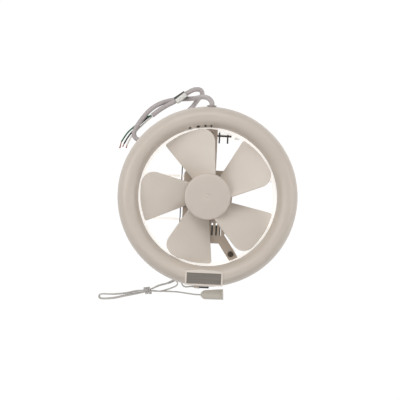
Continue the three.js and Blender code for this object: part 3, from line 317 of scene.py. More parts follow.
def piece_from(bm, name, finish, sharp=38.0):
    """Closes a bmesh into an object, smooth except along edges sharper than the given angle."""
    mesh = bpy.data.meshes.new(name)
    bm.to_mesh(mesh)
    bm.free()
    for face in mesh.polygons:
        face.use_smooth = True
    mesh.set_sharp_from_angle(angle=math.radians(sharp))
    mesh.materials.append(finish)
    piece = bpy.data.objects.new(name, mesh)
    scene.collection.objects.link(piece)
    return piece


def softened(piece, width, segments=3, angle=35.0):
    """Rounds a piece's sharp edges by so many millimetres."""
    bevel = piece.modifiers.new("rounded_edges", "BEVEL")
    bevel.width = width * MM
    bevel.segments = segments
    bevel.limit_method = "ANGLE"
    bevel.angle_limit = math.radians(angle)
    bevel.use_clamp_overlap = True
    return piece


label_finish = bpy.data.materials.new("label_paper")
label_finish.use_nodes = True
label_tree = label_finish.node_tree
label_shader = label_tree.nodes["Principled BSDF"]
label_coordinates = label_tree.nodes.new("ShaderNodeTexCoord")
label_place = label_tree.nodes.new("ShaderNodeMapping")
label_place.inputs["Location"].default_value = (0.0500, -0.1605, 0.0)
label_split = label_tree.nodes.new("ShaderNodeSeparateXYZ")
label_bands = label_tree.nodes.new("ShaderNodeValToRGB")
label_turn = label_tree.nodes.new("ShaderNodeMapping")
label_turn.inputs["Rotation"].default_value = (0.0, 0.0, math.radians(-40.0))
label_span = label_tree.nodes.new("ShaderNodeMapRange")
label_span.inputs["From Min"].default_value = -6.5 * MM
label_span.inputs["From Max"].default_value = 6.5 * MM
label_bands.color_ramp.interpolation = "CONSTANT"
label_bands.color_ramp.elements[0].position = 0.0
label_bands.color_ramp.elements[0].color = shade(70, 70, 70)
label_bands.color_ramp.elements[1].position = 0.08
label_bands.color_ramp.elements[1].color = shade(226, 226, 222)
band = label_bands.color_ramp.elements.new(0.68)
band.color = shade(52, 52, 52)
label_fibres = label_tree.nodes.new("ShaderNodeTexNoise")
label_fibres.inputs["Scale"].default_value = 1.0 / (0.8 * MM)
label_fibres.inputs["Detail"].default_value = 3.0
label_gloss = label_tree.nodes.new("ShaderNodeMapRange")
label_gloss.inputs["To Min"].default_value = 0.38
label_gloss.inputs["To Max"].default_value = 0.55
label_bump = label_tree.nodes.new("ShaderNodeBump")
label_bump.inputs["Strength"].default_value = 0.06
label_bump.inputs["Distance"].default_value = 0.05 * MM
label_tree.links.new(label_coordinates.outputs["Object"], label_fibres.inputs["Vector"])
label_tree.links.new(label_fibres.outputs["Fac"], label_gloss.inputs["Value"])
label_tree.links.new(label_gloss.outputs["Result"], label_shader.inputs["Roughness"])
label_tree.links.new(label_fibres.outputs["Fac"], label_bump.inputs["Height"])
label_tree.links.new(label_bump.outputs["Normal"], label_shader.inputs["Normal"])
label_tree.links.new(label_coordinates.outputs["Object"], label_place.inputs["Vector"])
label_tree.links.new(label_place.outputs["Vector"], label_turn.inputs["Vector"])
label_tree.links.new(label_turn.outputs["Vector"], label_split.inputs["Vector"])
label_tree.links.new(label_split.outputs["Y"], label_span.inputs["Value"])
label_tree.links.new(label_span.outputs["Result"], label_bands.inputs["Fac"])
label_tree.links.new(label_bands.outputs["Color"], label_shader.inputs["Base Color"])

label_middle = Vector((-50.0, 160.5, 14.4)) * MM
label_line = [spot for spot in lead_line if (spot - label_middle).length <= 10.0 * MM]
flat_oval = []
for step in range(32):
    turn = math.radians(11.25 * step)
    flat_oval.append((math.copysign(abs(math.cos(turn)) ** 0.62, math.cos(turn)) * 5.9 * MM,
                      math.copysign(abs(math.sin(turn)) ** 0.62, math.sin(turn)) * 4.9 * MM))
bm = bmesh.new()
rows = []
for station, spot in enumerate(label_line):
    ahead = label_line[min(station + 1, len(label_line) - 1)] - label_line[max(station - 1, 0)]
    across = ahead.cross(Vector((0, 0, 1))).normalized()
    above = across.cross(ahead.normalized())
    rows.append([bm.verts.new(spot + across * side + above * rise) for side, rise in flat_oval])
for row, next_row in zip(rows, rows[1:]):
    for index in range(32):
        bm.faces.new((row[index - 1], row[index], next_row[index], next_row[index - 1]))
bmesh.ops.recalc_face_normals(bm, faces=bm.faces)
label = piece_from(bm, "lead_label_wrap", label_finish, sharp=60.0)
paper = label.modifiers.new("paper_thickness", "SOLIDIFY")
paper.thickness = 0.25 * MM
paper.offset = 0.0
stands_for(label, "label", "lead_label")

# The lead passes the ring's skirt in a soft grey grommet with a round flange outside. Inside the ring
# it runs on to the terminal block.


def turned(profile, steps=96, closed=True):
    """A body of revolution about Z from (radius, height) in millimetres; an open profile ends on Z."""
    bm = bmesh.new()
    spots = [bm.verts.new((radius * MM, 0.0, height * MM)) for radius, height in profile]
    pairs = list(zip(spots, spots[1:])) + ([(spots[-1], spots[0])] if closed else [])
    edges = [bm.edges.new(pair) for pair in pairs]
    bmesh.ops.spin(bm, geom=spots + edges, cent=(0, 0, 0), axis=(0, 0, 1),
                   angle=2 * math.pi, steps=steps, use_merge=True)
    bmesh.ops.remove_doubles(bm, verts=bm.verts, dist=1e-7)
    bmesh.ops.recalc_face_normals(bm, faces=bm.faces)
    return bm


bm = turned([(4.4, -6.0), (5.6, -6.0), (5.6, 0.3), (7.5, 0.3), (7.5, 1.1), (7.1, 1.5), (4.9, 1.5),
             (4.4, 1.1)], 48)
bmesh.ops.transform(bm, verts=bm.verts, matrix=Matrix.Translation((0, 135.0 * MM, 124.4 * MM))
                    @ Matrix.Rotation(math.radians(-90), 4, "X"))
grommet = softened(piece_from(bm, "lead_grommet_collar", lead_grey), 0.25, 2)
stands_for(grommet, "lead_grey", "lead_grommet")
inner_line = smooth_route([(0, 121.3, 124.4), (0, 126, 124.4), (0, 130.5, 124.4), (0, 135, 124.4)], 2)
inner_lead = tube("lead_inside_ring", [inner_line], lead_radius, 20, lead_grey)
stands_for(inner_lead, "lead_grey", "lead_inner")

# ---------------------------------------------------------------- pull cord
# A white braided cord. It comes out of the spout under the badge, drops to the table, is folded to and
# fro in a hank tied at its waist, and ends in the bell-shaped pull.

string_finish = bpy.data.materials.new("braided_string")
string_finish.use_nodes = True
string_tree = string_finish.node_tree
string_shader = string_tree.nodes["Principled BSDF"]
string_shader.inputs["Sheen Weight"].default_value = 0.25
string_place = string_tree.nodes.new("ShaderNodeTexCoord")
string_axes = string_tree.nodes.new("ShaderNodeSeparateXYZ")
string_tree.links.new(string_place.outputs["UV"], string_axes.inputs["Vector"])


def string_math(operation, *values):
    """A math node on the string's tree; each value is a number or another node's output."""
    node = string_tree.nodes.new("ShaderNodeMath")
    node.operation = operation
    for socket, value in zip(node.inputs, values):
        if isinstance(value, (int, float)):
            socket.default_value = value
        else:
            string_tree.links.new(value, socket)
    return node.outputs[0]


braid_pitch, braid_yarns = 3.2, 3.0
braid_waves = []
for hand in (1.0, -1.0):
    round_it = string_math("MULTIPLY", string_axes.outputs["Y"], 2 * math.pi * braid_yarns * hand)
    along_it = string_math("MULTIPLY", string_axes.outputs["X"], 2 * math.pi / braid_pitch)
    braid_waves.append(string_math("SINE", string_math("ADD", round_it, along_it)))
string_braid = string_math("MULTIPLY_ADD", string_math("MAXIMUM", *braid_waves), 0.5, 0.5)
string_fuzz = string_tree.nodes.new("ShaderNodeTexNoise")
string_fuzz.inputs["Scale"].default_value = 1.0 / (0.6 * MM)
string_tree.links.new(string_place.outputs["Object"], string_fuzz.inputs["Vector"])
string_tones = string_tree.nodes.new("ShaderNodeValToRGB")
string_tones.color_ramp.elements[0].color = shade(178, 175, 172)
string_tones.color_ramp.elements[1].color = shade(202, 199, 196)
string_tree.links.new(string_braid, string_tones.inputs["Fac"])
string_tree.links.new(string_tones.outputs["Color"], string_shader.inputs["Base Color"])
string_gloss = string_math("MULTIPLY_ADD", string_fuzz.outputs["Fac"], 0.15, 0.78)
string_tree.links.new(string_gloss, string_shader.inputs["Roughness"])
string_bump = string_tree.nodes.new("ShaderNodeBump")
string_bump.inputs["Strength"].default_value = 0.25
string_bump.inputs["Distance"].default_value = 0.12 * MM
string_height = string_math("MULTIPLY_ADD", string_fuzz.outputs["Fac"], 0.4, string_braid)
string_tree.links.new(string_height, string_bump.inputs["Height"])
string_tree.links.new(string_bump.outputs["Normal"], string_shader.inputs["Normal"])

string_diameter = 2.2
string_radius = string_diameter / 2
braid_radius = string_radius + 0.1
low_layer = string_radius + 0.4
high_layer = low_layer + string_diameter + 0.6
waist_share, waist_reach, waist_lift = 0.375, 0.04, 3.3
waist_half_width, near_lobe_half_width, far_lobe_half_width, loop_spread = 1.45, 4.6, 3.5, 1.0
strands_part = (0.66, 0.95)
hank_loops = 2
hank_stations = [0, 0.1, 0.22, waist_share - waist_reach, waist_share + waist_reach, 0.53, 0.68, 0.84, 1]
spine = [spot / MM for spot in smooth_route([
    (-46, -144.5, 0), (-62, -152, 0), (-78, -155.8, 0), (-92.3, -158.6, 0),
    (-110, -162.4, 0), (-130, -167.2, 0), (-150, -170.6, 0), (-166, -171.4, 0)], 60)]
spine_length = length_of(spine)


def smooth_step(value, low, high):
    t = min(1.0, max(0.0, (value - low) / (high - low)))
    return t * t * (3 - 2 * t)


def on_spine(share):
    """The point at a share of the spine's length, and the direction there."""
    left = share * spine_length
    for start, end in zip(spine, spine[1:]):
        step = (end - start).length
        if left <= step + 1e-9:
            return start.lerp(end, min(1.0, left / step)), (end - start).normalized()
        left -= step
    return spine[-1].copy(), (spine[-1] - spine[-2]).normalized()


def waist_nearness(share):
    return 1 - smooth_step(abs(share - waist_share), waist_reach, 4 * waist_reach)


def half_width(share, loop_index):
    """Half the width of the hank: the strands lie side by side at the knot and part into open loops."""
    if share < waist_share:
        open_width, close = near_lobe_half_width, waist_nearness(share)
    else:
        open_width, close = far_lobe_half_width, 1 - smooth_step(share, *strands_part)
    narrowed = 1 - 0.65 * smooth_step(share, 0.75, 1.0)
    spread = loop_spread * loop_index * (1 - waist_nearness(share)) * narrowed
    return open_width * (1 - close) + waist_half_width * close + spread


def hank_spot(share, side, width, height):
    centre, along = on_spine(share)
    out = Vector((along.y, -along.x, 0)).normalized()
    spot = centre + out * side * width
    spot.z = height
    return spot


def fold(share, side, loop_index, height):
    """Half a turn round one end of the hank, from the given side of its spine."""
    centre, beyond = on_spine(share)
    beyond = beyond * (1 if share > 0.5 else -1)
    start = hank_spot(share, side, half_width(share, loop_index), 0) - centre
    spots = []
    for step in (1, 2, 3):
        angle = math.pi * step / 4
        spot = centre + start * math.cos(angle) + beyond * half_width(share, loop_index) * math.sin(angle)
        spot.z = height
        spots.append(spot)
    return spots


def run_along(shares, side, loop_index, level_at):
    return [hank_spot(share, side, half_width(share, loop_index),
                      level_at(share) + waist_lift * waist_nearness(share)) for share in shares]


def climbing(share):
    return high_layer + (low_layer - high_layer) * smooth_step(share, 0, 0.2)


hank = []
for loop_index in range(hank_loops):
    level = high_layer if loop_index else low_layer
    hank += run_along(hank_stations[(0 if loop_index else 1):], 1, loop_index, lambda share: level)
    hank += fold(1, 1, loop_index, level)
    if loop_index < hank_loops - 1:
        hank += run_along(hank_stations[::-1], -1, loop_index, climbing)
        hank += fold(0, -1, loop_index, high_layer)
    else:
        hank += run_along([share for share in hank_stations[::-1] if share > waist_share - 2 * waist_reach],
                          -1, loop_index, lambda share: level)

spout_end = (-14.6, -135.6, 122.3)
into_hank = hank[0] - (hank[1] - hank[0]).normalized() * 6
out_of_hank = hank[-1] + (hank[-1] - hank[-2]).normalized() * 4
bell_neck_end = Vector((-2.8, -160.7, 9.1))
pull_line = smooth_route(
    [spout_end, (-19, -135.6, 121.8), (-25, -137.6, 112), (-30.5, -139.4, 84), (-34, -138.8, 46),
     (-36.5, -136.8, 18), (-39, -136, 5), (-43.5, -138.6, 1.6), into_hank] + hank
    + [out_of_hank, (-72, -158.6, 5.6), (-62, -158.2, 5.2), (-51, -158.4, 3), (-38.8, -158.9, 1.6),
       (-25.5, -160.2, 1.9), (-13, -161, 5.4), (-7.8, -160.7, 9.1), (-3.1, -160.7, 9.1)], 8)
pull_cord = tube("pull_cord_string", [pull_line], braid_radius * MM, 12, string_finish)
stands_for(pull_cord, "string", "pull_cord", "pull_cord_hank", "pull_cord_tail")

# The knot: the cord's end whipped round the hank's waist, with one turn drawn over the others.
knot_turns = 2.5
knot_pitch = string_diameter + 0.5
knot_radius = math.hypot(waist_half_width, (high_layer - low_layer) / 2) + string_diameter + 0.65
knot_middle, knot_along = on_spine(waist_share)
knot_middle.z = (low_layer + high_layer) / 2 + waist_lift
knot_out = Vector((knot_along.y, -knot_along.x, 0)).normalized()
whipping = []
for step in range(int(knot_turns * 40) + 1):
    angle = 2 * math.pi * step / 40
    whipping.append((knot_middle + knot_along * knot_pitch * (step / 40 - knot_turns / 2)
                     + knot_out * knot_radius * math.cos(angle)
                     + Vector((0, 0, knot_radius * math.sin(angle)))) * MM)
over_turn = []
for step in range(25):
    angle = math.radians(-20 + 220 * step / 24)
    reach = knot_radius - 1.2 + 2.9 * math.sin(math.pi * step / 24) ** 0.6
    over_turn.append((knot_middle + knot_along * 5.2 * math.cos(math.pi * step / 24)
                      + knot_out * reach * math.cos(angle) + Vector((0, 0, reach * math.sin(angle)))) * MM)
knot = tube("pull_cord_knot_turns", [whipping, over_turn], braid_radius * MM, 12, string_finish)
stands_for(knot, "string", "pull_cord_knot")

# The pull: one hollow bell of cream plastic, moulded with a tapered neck round the cord and a rim.
bell_plastic = moulded("bell_plastic", shade(208, 202, 192), roughness=0.4, mottle=0.03, grain=0.05)
bell_profile = [
    (0, 0), (2.2, 0), (2.9, 0.4), (3.5, 1.0), (4.6, 1.9), (5.9, 3.1), (6.8, 4.4), (7.3, 5.8), (7.5, 7.5),
    (7.7, 11.0), (8.6, 32.4), (8.0, 32.8), (8.0, 33.5), (8.75, 33.9), (8.9, 34.8), (8.9, 36.4),
    (8.5, 37.0), (7.3, 37.0), (6.8, 36.4), (6.7, 34.0), (6.7, 13.6), (5.6, 12.2), (3.0, 12.0), (0, 12.0)]
bell_heading = math.atan2(-158.5 + 160.7, 34.2 + 2.8)
bm = turned(bell_profile, 64, closed=False)
bmesh.ops.transform(bm, verts=bm.verts, matrix=Matrix.Translation(bell_neck_end * MM)
                    @ Matrix.Rotation(bell_heading, 4, "Z") @ Matrix.Rotation(math.pi / 2, 4, "Y"))
bell = piece_from(bm, "bell_pull", bell_plastic, sharp=50.0)
stands_for(bell, "bell_plastic", "pull_bell")

# The black cord guide under the badge, and the cream spout that turns the cord to the left.
black_plastic = moulded("black_plastic", shade(40, 39, 38), roughness=0.45, mottle=0.1, grain=0.08)
ivory = moulded("ivory_plastic", shade(200, 190, 180), roughness=0.38, mottle=0.02, grain=0.05)


def slab(low, high):
    """A bmesh block between two corners in millimetres."""
    bm = bmesh.new()
    size = [(b - a) * MM for a, b in zip(low, high)]
    middle = [(a + b) / 2 * MM for a, b in zip(low, high)]
    bmesh.ops.create_cube(bm, size=1.0, matrix=Matrix.Translation(middle) @ Matrix.Diagonal((*size, 1.0)))
    return bm


nozzle = softened(piece_from(slab((-6.5, -137.2, 118.8), (8.3, -126.3, 125.8)),
                             "cord_guide", black_plastic), 1.1, 4)
stands_for(nozzle, "dark_plastic", "cord_nozzle")
bm = turned([(1.5, -1.0), (1.5, 6.9), (1.9, 7.5), (2.3, 6.9), (2.3, 1.6), (2.75, 1.2), (2.75, 0.0),
             (2.3, -1.0)], 32)
bmesh.ops.transform(bm, verts=bm.verts, matrix=Matrix.Translation((-6.8 * MM, -135.6 * MM, 122.3 * MM))
                    @ Matrix.Rotation(math.radians(-90), 4, "Y"))
spout = piece_from(bm, "cord_spout_sleeve", ivory)
stands_for(spout, "ivory_plastic", "cord_spout")

# The pull switch inside the ring, with its sprung lever.


def welded(node, finish, width=0.3):
    """Keeps a CAD node, with its corners welded and its edges eased, in the given finish."""
    kept = nodes[node]
    kept.data.materials.clear()
    kept.data.materials.append(finish)
    weld = kept.modifiers.new("welded_corners", "WELD")
    weld.merge_threshold = 0.002 * MM
    return softened(kept, width, 2, 30.0)


white_plastic = moulded("white_plastic", shade(232, 229, 224), roughness=0.45, mottle=0.015, grain=0.05)
welded("pull_switch", white_plastic, 0.8)
welded("switch_lever", black_plastic, 0.4)

# ---------------------------------------------------------------- front ring
# The ivory ring that faces the room: one shell moulding that rises from a short skirt to a rounded
# crest and falls inward to the throat, screwed from behind to the main frame.

ring_radius, ring_crest_radius, ring_throat_radius = 135.0, 119.5, 103.0
ring_crest, ring_skirt_bottom, ring_skirt_top, ring_throat = 152.0, 114.0, 119.0, 131.3
ring_wall = 2.0


def ring_surface(inset, steps=20):
    spots = [(ring_radius - inset, ring_skirt_bottom)]
    for step in range(steps + 1):
        angle = math.pi / 2 * step / steps
        spots.append((ring_crest_radius + (ring_radius - ring_crest_radius - inset) * math.cos(angle),
                      ring_skirt_top + (ring_crest - ring_skirt_top - inset) * math.sin(angle)))
    for step in range(1, steps + 1):
        angle = math.pi / 2 * step / steps
        spots.append((ring_crest_radius - (ring_crest_radius - ring_throat_radius - inset) * math.sin(angle),
                      ring_throat + (ring_crest - ring_throat - inset) * math.cos(angle)))
    return spots


def carved(piece, cutter_bm):
    """Cuts a shape out of a piece for good."""
    cutter = piece_from(cutter_bm, piece.name + "_cutter", piece.data.materials[0])
    cut = piece.modifiers.new("cut", "BOOLEAN")
    cut.operation = "DIFFERENCE"
    cut.solver = "EXACT"
    cut.object = cutter
    bpy.context.view_layer.update()
    made = bpy.data.meshes.new_from_object(piece.evaluated_get(bpy.context.evaluated_depsgraph_get()))
    piece.modifiers.clear()
    piece.data = made
    bpy.data.objects.remove(cutter)
    for face in made.polygons:
        face.use_smooth = True
    made.set_sharp_from_angle(angle=math.radians(38.0))
    return piece


# Four small slots in the throat's edge beside the topmost blade open on the dark space behind it.
bm = turned(ring_surface(0.0) + ring_surface(ring_wall)[::-1], 160)
front_ring = piece_from(bm, "front_ring_shell", ivory)
throat_slots = bmesh.new()
for slot_angle, slot_width in ((107.0, 3.0), (100.3, 4.5), (94.4, 3.0), (89.6, 2.5)):
    bmesh.ops.create_cube(throat_slots, size=1.0, matrix=Matrix.Rotation(math.radians(slot_angle), 4, "Z")
                          @ Matrix.Translation((105.5 * MM, 0, 137.0 * MM))
                          @ Matrix.Diagonal((10 * MM, slot_width * MM, 11.0 * MM, 1.0)))
carved(front_ring, throat_slots)
softened(front_ring, 0.3, 2, 50.0)
stands_for(front_ring, "ivory_plastic", "front_ring")

# The badge: a bare silver plate set a little below the top of an ivory bezel, whose edge toward the
# hub is arched.
bezel_half_width, bezel_half_height, badge_y, bezel_top = 27.5, 10.25, -120.0, 153.0
bm = bmesh.new()
arch = [((bezel_half_width * (1 - 2 * step / 16)),
         badge_y + bezel_half_height + 2.5 * (1 - (1 - 2 * step / 16) ** 2)) for step in range(17)]
foot = [(-bezel_half_width, badge_y - bezel_half_height), (bezel_half_width, badge_y - bezel_half_height)]
face = bm.faces.new([bm.verts.new((x * MM, y * MM, bezel_top * MM)) for x, y in foot + arch])
pocket = bmesh.ops.extrude_face_region(bm, geom=[face])["geom"]
bmesh.ops.translate(bm, verts=[item for item in pocket if isinstance(item, bmesh.types.BMVert)],
                    vec=(0, 0, -11.0 * MM))
bmesh.ops.recalc_face_normals(bm, faces=bm.faces)
# The bezel is a lighter ivory than the ring: a painted highlight for the light lines along its edges.
bezel_ivory_painted_highlight = moulded("bezel_ivory_painted_highlight", shade(221, 213, 205), roughness=0.35, mottle=0.02, grain=0.03)
bezel = piece_from(bm, "badge_frame", bezel_ivory_painted_highlight)
carved(bezel, slab((-25.3, -128.05, 151.3), (25.3, -111.95, 154.0)))
softened(bezel, 0.35, 3, 50.0)
stands_for(bezel, "ivory_plastic", "badge_bezel")

silver = bpy.data.materials.new("brushed_silver")
silver.use_nodes = True
silver_tree = silver.node_tree
silver_shader = silver_tree.nodes["Principled BSDF"]
silver_shader.inputs["Metallic"].default_value = 0.3
silver_place = silver_tree.nodes.new("ShaderNodeTexCoord")
silver_stretch = silver_tree.nodes.new("ShaderNodeMapping")
silver_stretch.inputs["Scale"].default_value = (30.0, 2500.0, 2500.0)
silver_lines = silver_tree.nodes.new("ShaderNodeTexNoise")
silver_lines.inputs["Scale"].default_value = 1.0
silver_lines.inputs["Detail"].default_value = 3.0
# These tones are partly painted light: their dark grey stands for the dark room that the plate reflects, and
# their streaks are its brushing.
silver_streaks_and_painted_reflection = silver_tree.nodes.new("ShaderNodeValToRGB")
silver_streaks_and_painted_reflection.color_ramp.elements[0].position = 0.3
silver_streaks_and_painted_reflection.color_ramp.elements[0].color = shade(108, 103, 97)
silver_streaks_and_painted_reflection.color_ramp.elements[1].position = 0.7
silver_streaks_and_painted_reflection.color_ramp.elements[1].color = shade(128, 123, 116)
silver_gloss = silver_tree.nodes.new("ShaderNodeMapRange")
silver_gloss.inputs["To Min"].default_value = 0.3
silver_gloss.inputs["To Max"].default_value = 0.42
silver_tree.links.new(silver_lines.outputs["Fac"], silver_gloss.inputs["Value"])
silver_tree.links.new(silver_gloss.outputs["Result"], silver_shader.inputs["Roughness"])
silver_bump = silver_tree.nodes.new("ShaderNodeBump")
silver_bump.inputs["Strength"].default_value = 0.1
silver_bump.inputs["Distance"].default_value = 0.05 * MM
silver_tree.links.new(silver_place.outputs["Object"], silver_stretch.inputs["Vector"])
silver_tree.links.new(silver_stretch.outputs["Vector"], silver_lines.inputs["Vector"])
silver_tree.links.new(silver_lines.outputs["Fac"], silver_streaks_and_painted_reflection.inputs["Fac"])
silver_tree.links.new(silver_streaks_and_painted_reflection.outputs["Color"], silver_shader.inputs["Base Color"])
silver_tree.links.new(silver_lines.outputs["Fac"], silver_bump.inputs["Height"])
silver_tree.links.new(silver_bump.outputs["Normal"], silver_shader.inputs["Normal"])
bm = slab((-25, -127.75, 151.4), (25, -112.25, 152.2))
plate = softened(piece_from(bm, "badge_silver_plate", silver), 0.15, 2)
stands_for(plate, "silver_plate", "badge_plate")

# ---------------------------------------------------------------- main frame and pane seals
# One white moulding: the sleeve that the air runs through, a flange that presses on the pane, and
# three tabs for the motor bracket. Rubber rings seal both faces of the pane.

seal_rubber = moulded("seal_rubber", shade(74, 73, 70), roughness=0.7, mottle=0.08, grain=0.15,
                      grain_size=0.5)
bm = turned([(103, 72.4), (108.5, 72.4), (108.5, 74.9), (105, 74.9), (105, 116), (131, 116), (131, 118.5),
             (105, 118.5), (105, 131), (103, 131)], 160)
white_with_painted_glow = moulded("white_plastic_painted_bore_glow", shade(245, 243, 240), roughness=0.45, mottle=0.012, grain=0.05)

# Inside the bore the white walls and the shutter leaves glow a little, and nowhere else: painted light that
# lifts them to white where the fan's own shade falls on them.
bore_tree = white_with_painted_glow.node_tree
bore_shader = bore_tree.nodes["Principled BSDF"]
bore_place = bore_tree.nodes.new("ShaderNodeTexCoord")
bore_flat = bore_tree.nodes.new("ShaderNodeVectorMath")
bore_flat.operation = "MULTIPLY"
bore_flat.inputs[1].default_value = (1.0, 1.0, 0.0)
bore_radius = bore_tree.nodes.new("ShaderNodeVectorMath")
bore_radius.operation = "LENGTH"
bore_glow_mask = bore_tree.nodes.new("ShaderNodeMath")
bore_glow_mask.operation = "LESS_THAN"
bore_glow_mask.inputs[1].default_value = 104.2 * MM
painted_bore_glow = bore_tree.nodes.new("ShaderNodeMath")
painted_bore_glow.operation = "MULTIPLY"
painted_bore_glow.inputs[1].default_value = 0.42
bore_tree.links.new(bore_place.outputs["Object"], bore_flat.inputs[0])
bore_tree.links.new(bore_flat.outputs["Vector"], bore_radius.inputs[0])
bore_tree.links.new(bore_radius.outputs["Value"], bore_glow_mask.inputs[0])
bore_tree.links.new(bore_glow_mask.outputs[0], painted_bore_glow.inputs[0])
bore_tree.links.new(painted_bore_glow.outputs[0], bore_shader.inputs["Emission Strength"])
bore_shader.inputs["Emission Color"].default_value = shade(245, 243, 240)
main_frame = piece_from(bm, "air_sleeve", white_with_painted_glow)
softened(main_frame, 0.4, 2, 50.0)
bracket_screw_spots = [(0.0, 94.0), (38.7, -85.2), (-38.7, -85.2)]
bm = bmesh.new()
for x, y in bracket_screw_spots:
    bmesh.ops.create_cube(bm, size=1.0, matrix=Matrix.Rotation(math.atan2(y, x), 4, "Z")
                          @ Matrix.Translation((95.5 * MM, 0, 109.85 * MM))
                          @ Matrix.Diagonal((17 * MM, 16 * MM, 3.7 * MM, 1.0)))
bracket_tabs = softened(piece_from(bm, "sleeve_bracket_tabs", white_with_painted_glow), 0.5, 3)
stands_for(bracket_tabs, "white_plastic", "main_frame")
stands_for(main_frame, "white_plastic", "main_frame")
for name, node, bottom in (("rear_seal", "rear_gasket", 105.3), ("front_seal", "front_gasket", 113.0)):
    top = bottom + 2.7
    bm = turned([(118, bottom), (130, bottom), (130, top), (118, top)], 128)
    seal = softened(piece_from(bm, name, seal_rubber), 0.5, 3)
    stands_for(seal, "gasket_rubber", node)

# ---------------------------------------------------------------- outdoor hood
# A deep white drum with a turned-in rim, whose flange presses on the pane from outside. The shutter
# leaves hang in it on pins that run in holes in its wall.

bm = turned([(121.5, 0), (129.5, 0), (129.5, 102), (131, 102), (131, 105), (106.5, 105), (106.5, 102),
             (127, 102), (127, 2.5), (121.5, 2.5)], 160)
hood = piece_from(bm, "outdoor_hood", white_plastic)
pin_holes = bmesh.new()
for hinge_y in (98.0, 31.0, -36.0):
    bmesh.ops.create_cone(pin_holes, cap_ends=True, segments=24, radius1=2.4 * MM, radius2=2.4 * MM,
                          depth=270 * MM, matrix=Matrix.Translation((0, hinge_y * MM, 70 * MM))
                          @ Matrix.Rotation(math.pi / 2, 4, "Y"))
carved(hood, pin_holes)
softened(hood, 0.6, 3, 60.0)
stands_for(hood, "white_plastic", "rear_hood")
# The leaves share the sleeve's white, with its painted glow inside the bore.
for leaf in ("shutter_leaf_top", "shutter_leaf_middle", "shutter_leaf_bottom"):
    welded(leaf, white_with_painted_glow, 0.25)
welded("shutter_tie_bar", black_plastic, 0.3)
welded("shutter_hanger", black_plastic, 0.3)

# ---------------------------------------------------------------- motor
# A small shaded-pole motor in two drawn steel caps, with its wound core between them. It hangs from
# the pressed bracket by two screws, and its shaft carries the impeller.

steel = moulded("painted_steel", shade(168, 155, 142), roughness=0.45, mottle=0.05, grain=0.08, metallic=0.25)
bright_steel = moulded("bright_steel", shade(186, 184, 180), roughness=0.28, mottle=0.04, grain=0.03,
                       metallic=0.9)
dark_steel = moulded("dark_steel", shade(66, 56, 43), roughness=0.6, mottle=0.1, grain=0.05)
caps = {
    "motor_rear_cap": [(4.5, 80), (34.5, 80), (36.6, 80.9), (37.5, 83), (37.5, 96), (36, 96), (36, 81.5),
                       (10.5, 81.5), (10.5, 87.8), (8.3, 87.8), (8.3, 81.5), (4.5, 81.5)],
    "motor_front_cap": [(4.5, 111.7), (34.5, 111.7), (36.6, 110.8), (37.5, 108.7), (37.5, 96.3),
                        (36, 96.3), (36, 110.2), (10.5, 110.2), (10.5, 103.9), (8.3, 103.9),
                        (8.3, 110.2), (4.5, 110.2)],
}
for node, profile in caps.items():
    cap = softened(piece_from(turned(profile, 96), node + "_shell", steel), 0.3, 2)
    stands_for(cap, "sheet_steel", node)
for node in ("motor_shaft", "hub_clip", "rear_bearing", "front_bearing"):
    welded(node, bright_steel, 0.2)
for node in ("rotor_core", "stator_core"):
    welded(node, steel, 0.2)
for node in ("rear_winding", "front_winding"):
    welded(node, copper, 1.2)
welded("capacitor", black_plastic, 0.8)
welded("terminal_block", white_plastic, 0.6)
flex_line = smooth_route([
    (-18, 111, 118.5), (-18, 110.5, 113), (-18, 107, 109), (-17, 102, 107.5), (-15, 96, 105),
    (-12, 80, 103), (-10, 60, 102), (-9, 44, 101.5), (-8.8, 37.1, 101.5)], 6)
flex = tube("motor_flex_sheath", [flex_line], 2.5 * MM, 14, lead_grey)
stands_for(flex, "lead_grey", "motor_flex")

# The bracket is one pressed sheet with three legs and a row of cooling slots.
welded("motor_bracket", steel, 0.35)
for number, (x, y) in enumerate(bracket_screw_spots, 1):
    bm = turned([(0, 116.8), (1.6, 116.75), (3.2, 116.4), (4.2, 115.7), (4.5, 115.0), (4.5, 114.3),
                 (2, 114.3), (2, 106.5), (1.4, 106.0), (0, 106.0)], 40, closed=False)
    bmesh.ops.translate(bm, verts=bm.verts, vec=(x * MM, y * MM, 0))
    screw = piece_from(bm, f"bracket_screw_head_{number}", dark_steel)
    for half_x, half_y in ((2.6, 0.45), (0.45, 2.6)):
        bar = bmesh.new()
        bmesh.ops.create_cube(bar, size=1.0, matrix=Matrix.Translation((x * MM, y * MM, 117 * MM))
                              @ Matrix.Rotation(math.radians(25), 4, "Z")
                              @ Matrix.Diagonal((2 * half_x * MM, 2 * half_y * MM, 3.0 * MM, 1.0)))
        carved(screw, bar)
    stands_for(screw, "dark_screw", f"bracket_screw_{number}")
for node in nodes:
    if node.startswith("motor_screw"):
        welded(node, dark_steel, 0.3)
    elif node.startswith(("clamp_bolt", "clamp_nut", "ring_screw")):
        welded(node, bright_steel, 0.3)

# ---------------------------------------------------------------- impeller
# One ivory moulding: a hub with a low domed top and five broad blades, each with a straight sharp
# trailing edge deep in the sleeve and a rounded leading corner near the room.

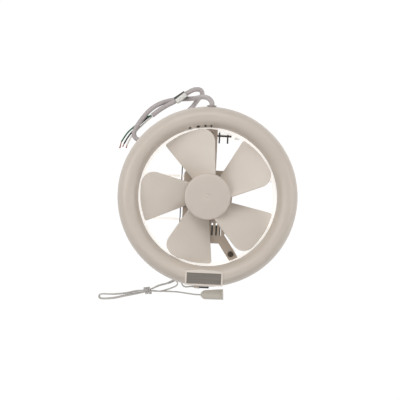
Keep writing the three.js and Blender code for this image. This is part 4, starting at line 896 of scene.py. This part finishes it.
blade_ivory = moulded("blade_ivory", shade(207, 198, 189), roughness=0.4, mottle=0.02, grain=0.05)
# The hub is a shade darker than the blades, though it is one moulding with them: painted shade.
hub_ivory_painted_shade = moulded("hub_ivory_painted_shade", shade(200, 190, 182), roughness=0.38, mottle=0.02, grain=0.05)
hub_profile = [
    (0, 151.4), (1.1, 151.3), (1.7, 150.9), (2.2, 150.4), (2.7, 150.2), (3.3, 150.45), (8, 150.45),
    (16, 150.3), (24, 149.95), (30, 149.4), (32.2, 149.05), (33.3, 148.5), (34.0, 147.6), (34.25, 146.4),
    (34.25, 118.5), (32.25, 118.5), (32.25, 141.5),
    (30, 143.6), (24, 146.6), (12, 147.6), (7.5, 147.8), (7.5, 120.5), (3.3, 120.5), (3.3, 145.3), (0, 145.3)]
hub = softened(piece_from(turned(hub_profile, 128, closed=False), "impeller_hub", hub_ivory_painted_shade), 0.4, 2, 60.0)
stands_for(hub, "blade_plastic", "impeller", body="rotor")

blade_root, blade_tip, blade_thickness, blade_rise = 33.25, 100.0, 1.8, 0.5
blade_lead_angle, blade_lead_offset, lead_corner, trail_corner = 39.0, 11.5, 18.0, 3.0


def corner_inset(radius, corner):
    depth = radius - (blade_tip - corner)
    return corner - math.sqrt(max(0.0, corner * corner - depth * depth)) if depth > 0 else 0.0


for number in range(5):
    bm = bmesh.new()
    bmesh.ops.create_grid(bm, x_segments=26, y_segments=34, size=0.5)
    for vert in bm.verts:
        over, out = vert.co.x + 0.5, vert.co.y + 0.5
        radius = blade_root + (blade_tip - blade_root) * math.sin(out * math.pi / 2)
        to_degrees = 180 / (math.pi * radius)
        start = corner_inset(radius, trail_corner) * to_degrees
        end = (blade_lead_angle + math.degrees(math.asin(blade_lead_offset / radius))
               - corner_inset(radius, lead_corner) * to_degrees)
        turn = start + (end - start) * over
        angle = math.radians(132.0 + 72.0 * number - turn)
        camber = 0.7 * math.sin(math.pi * over) * out
        root_sink = 3.2 * over * max(0.0, 1.0 - 3.0 * out)
        vert.co = Vector((radius * math.cos(angle), radius * math.sin(angle),
                          118.5 + blade_thickness + blade_rise * turn + camber - root_sink)) * MM
    bmesh.ops.recalc_face_normals(bm, faces=bm.faces)
    blade = piece_from(bm, f"impeller_blade_{number + 1}", blade_ivory, sharp=60.0)
    wall = blade.modifiers.new("blade_thickness", "SOLIDIFY")
    wall.thickness = blade_thickness * MM
    wall.offset = 0.0
    softened(blade, 0.5, 3, 50.0)
    stands_for(blade, "blade_plastic", "impeller", body="rotor")
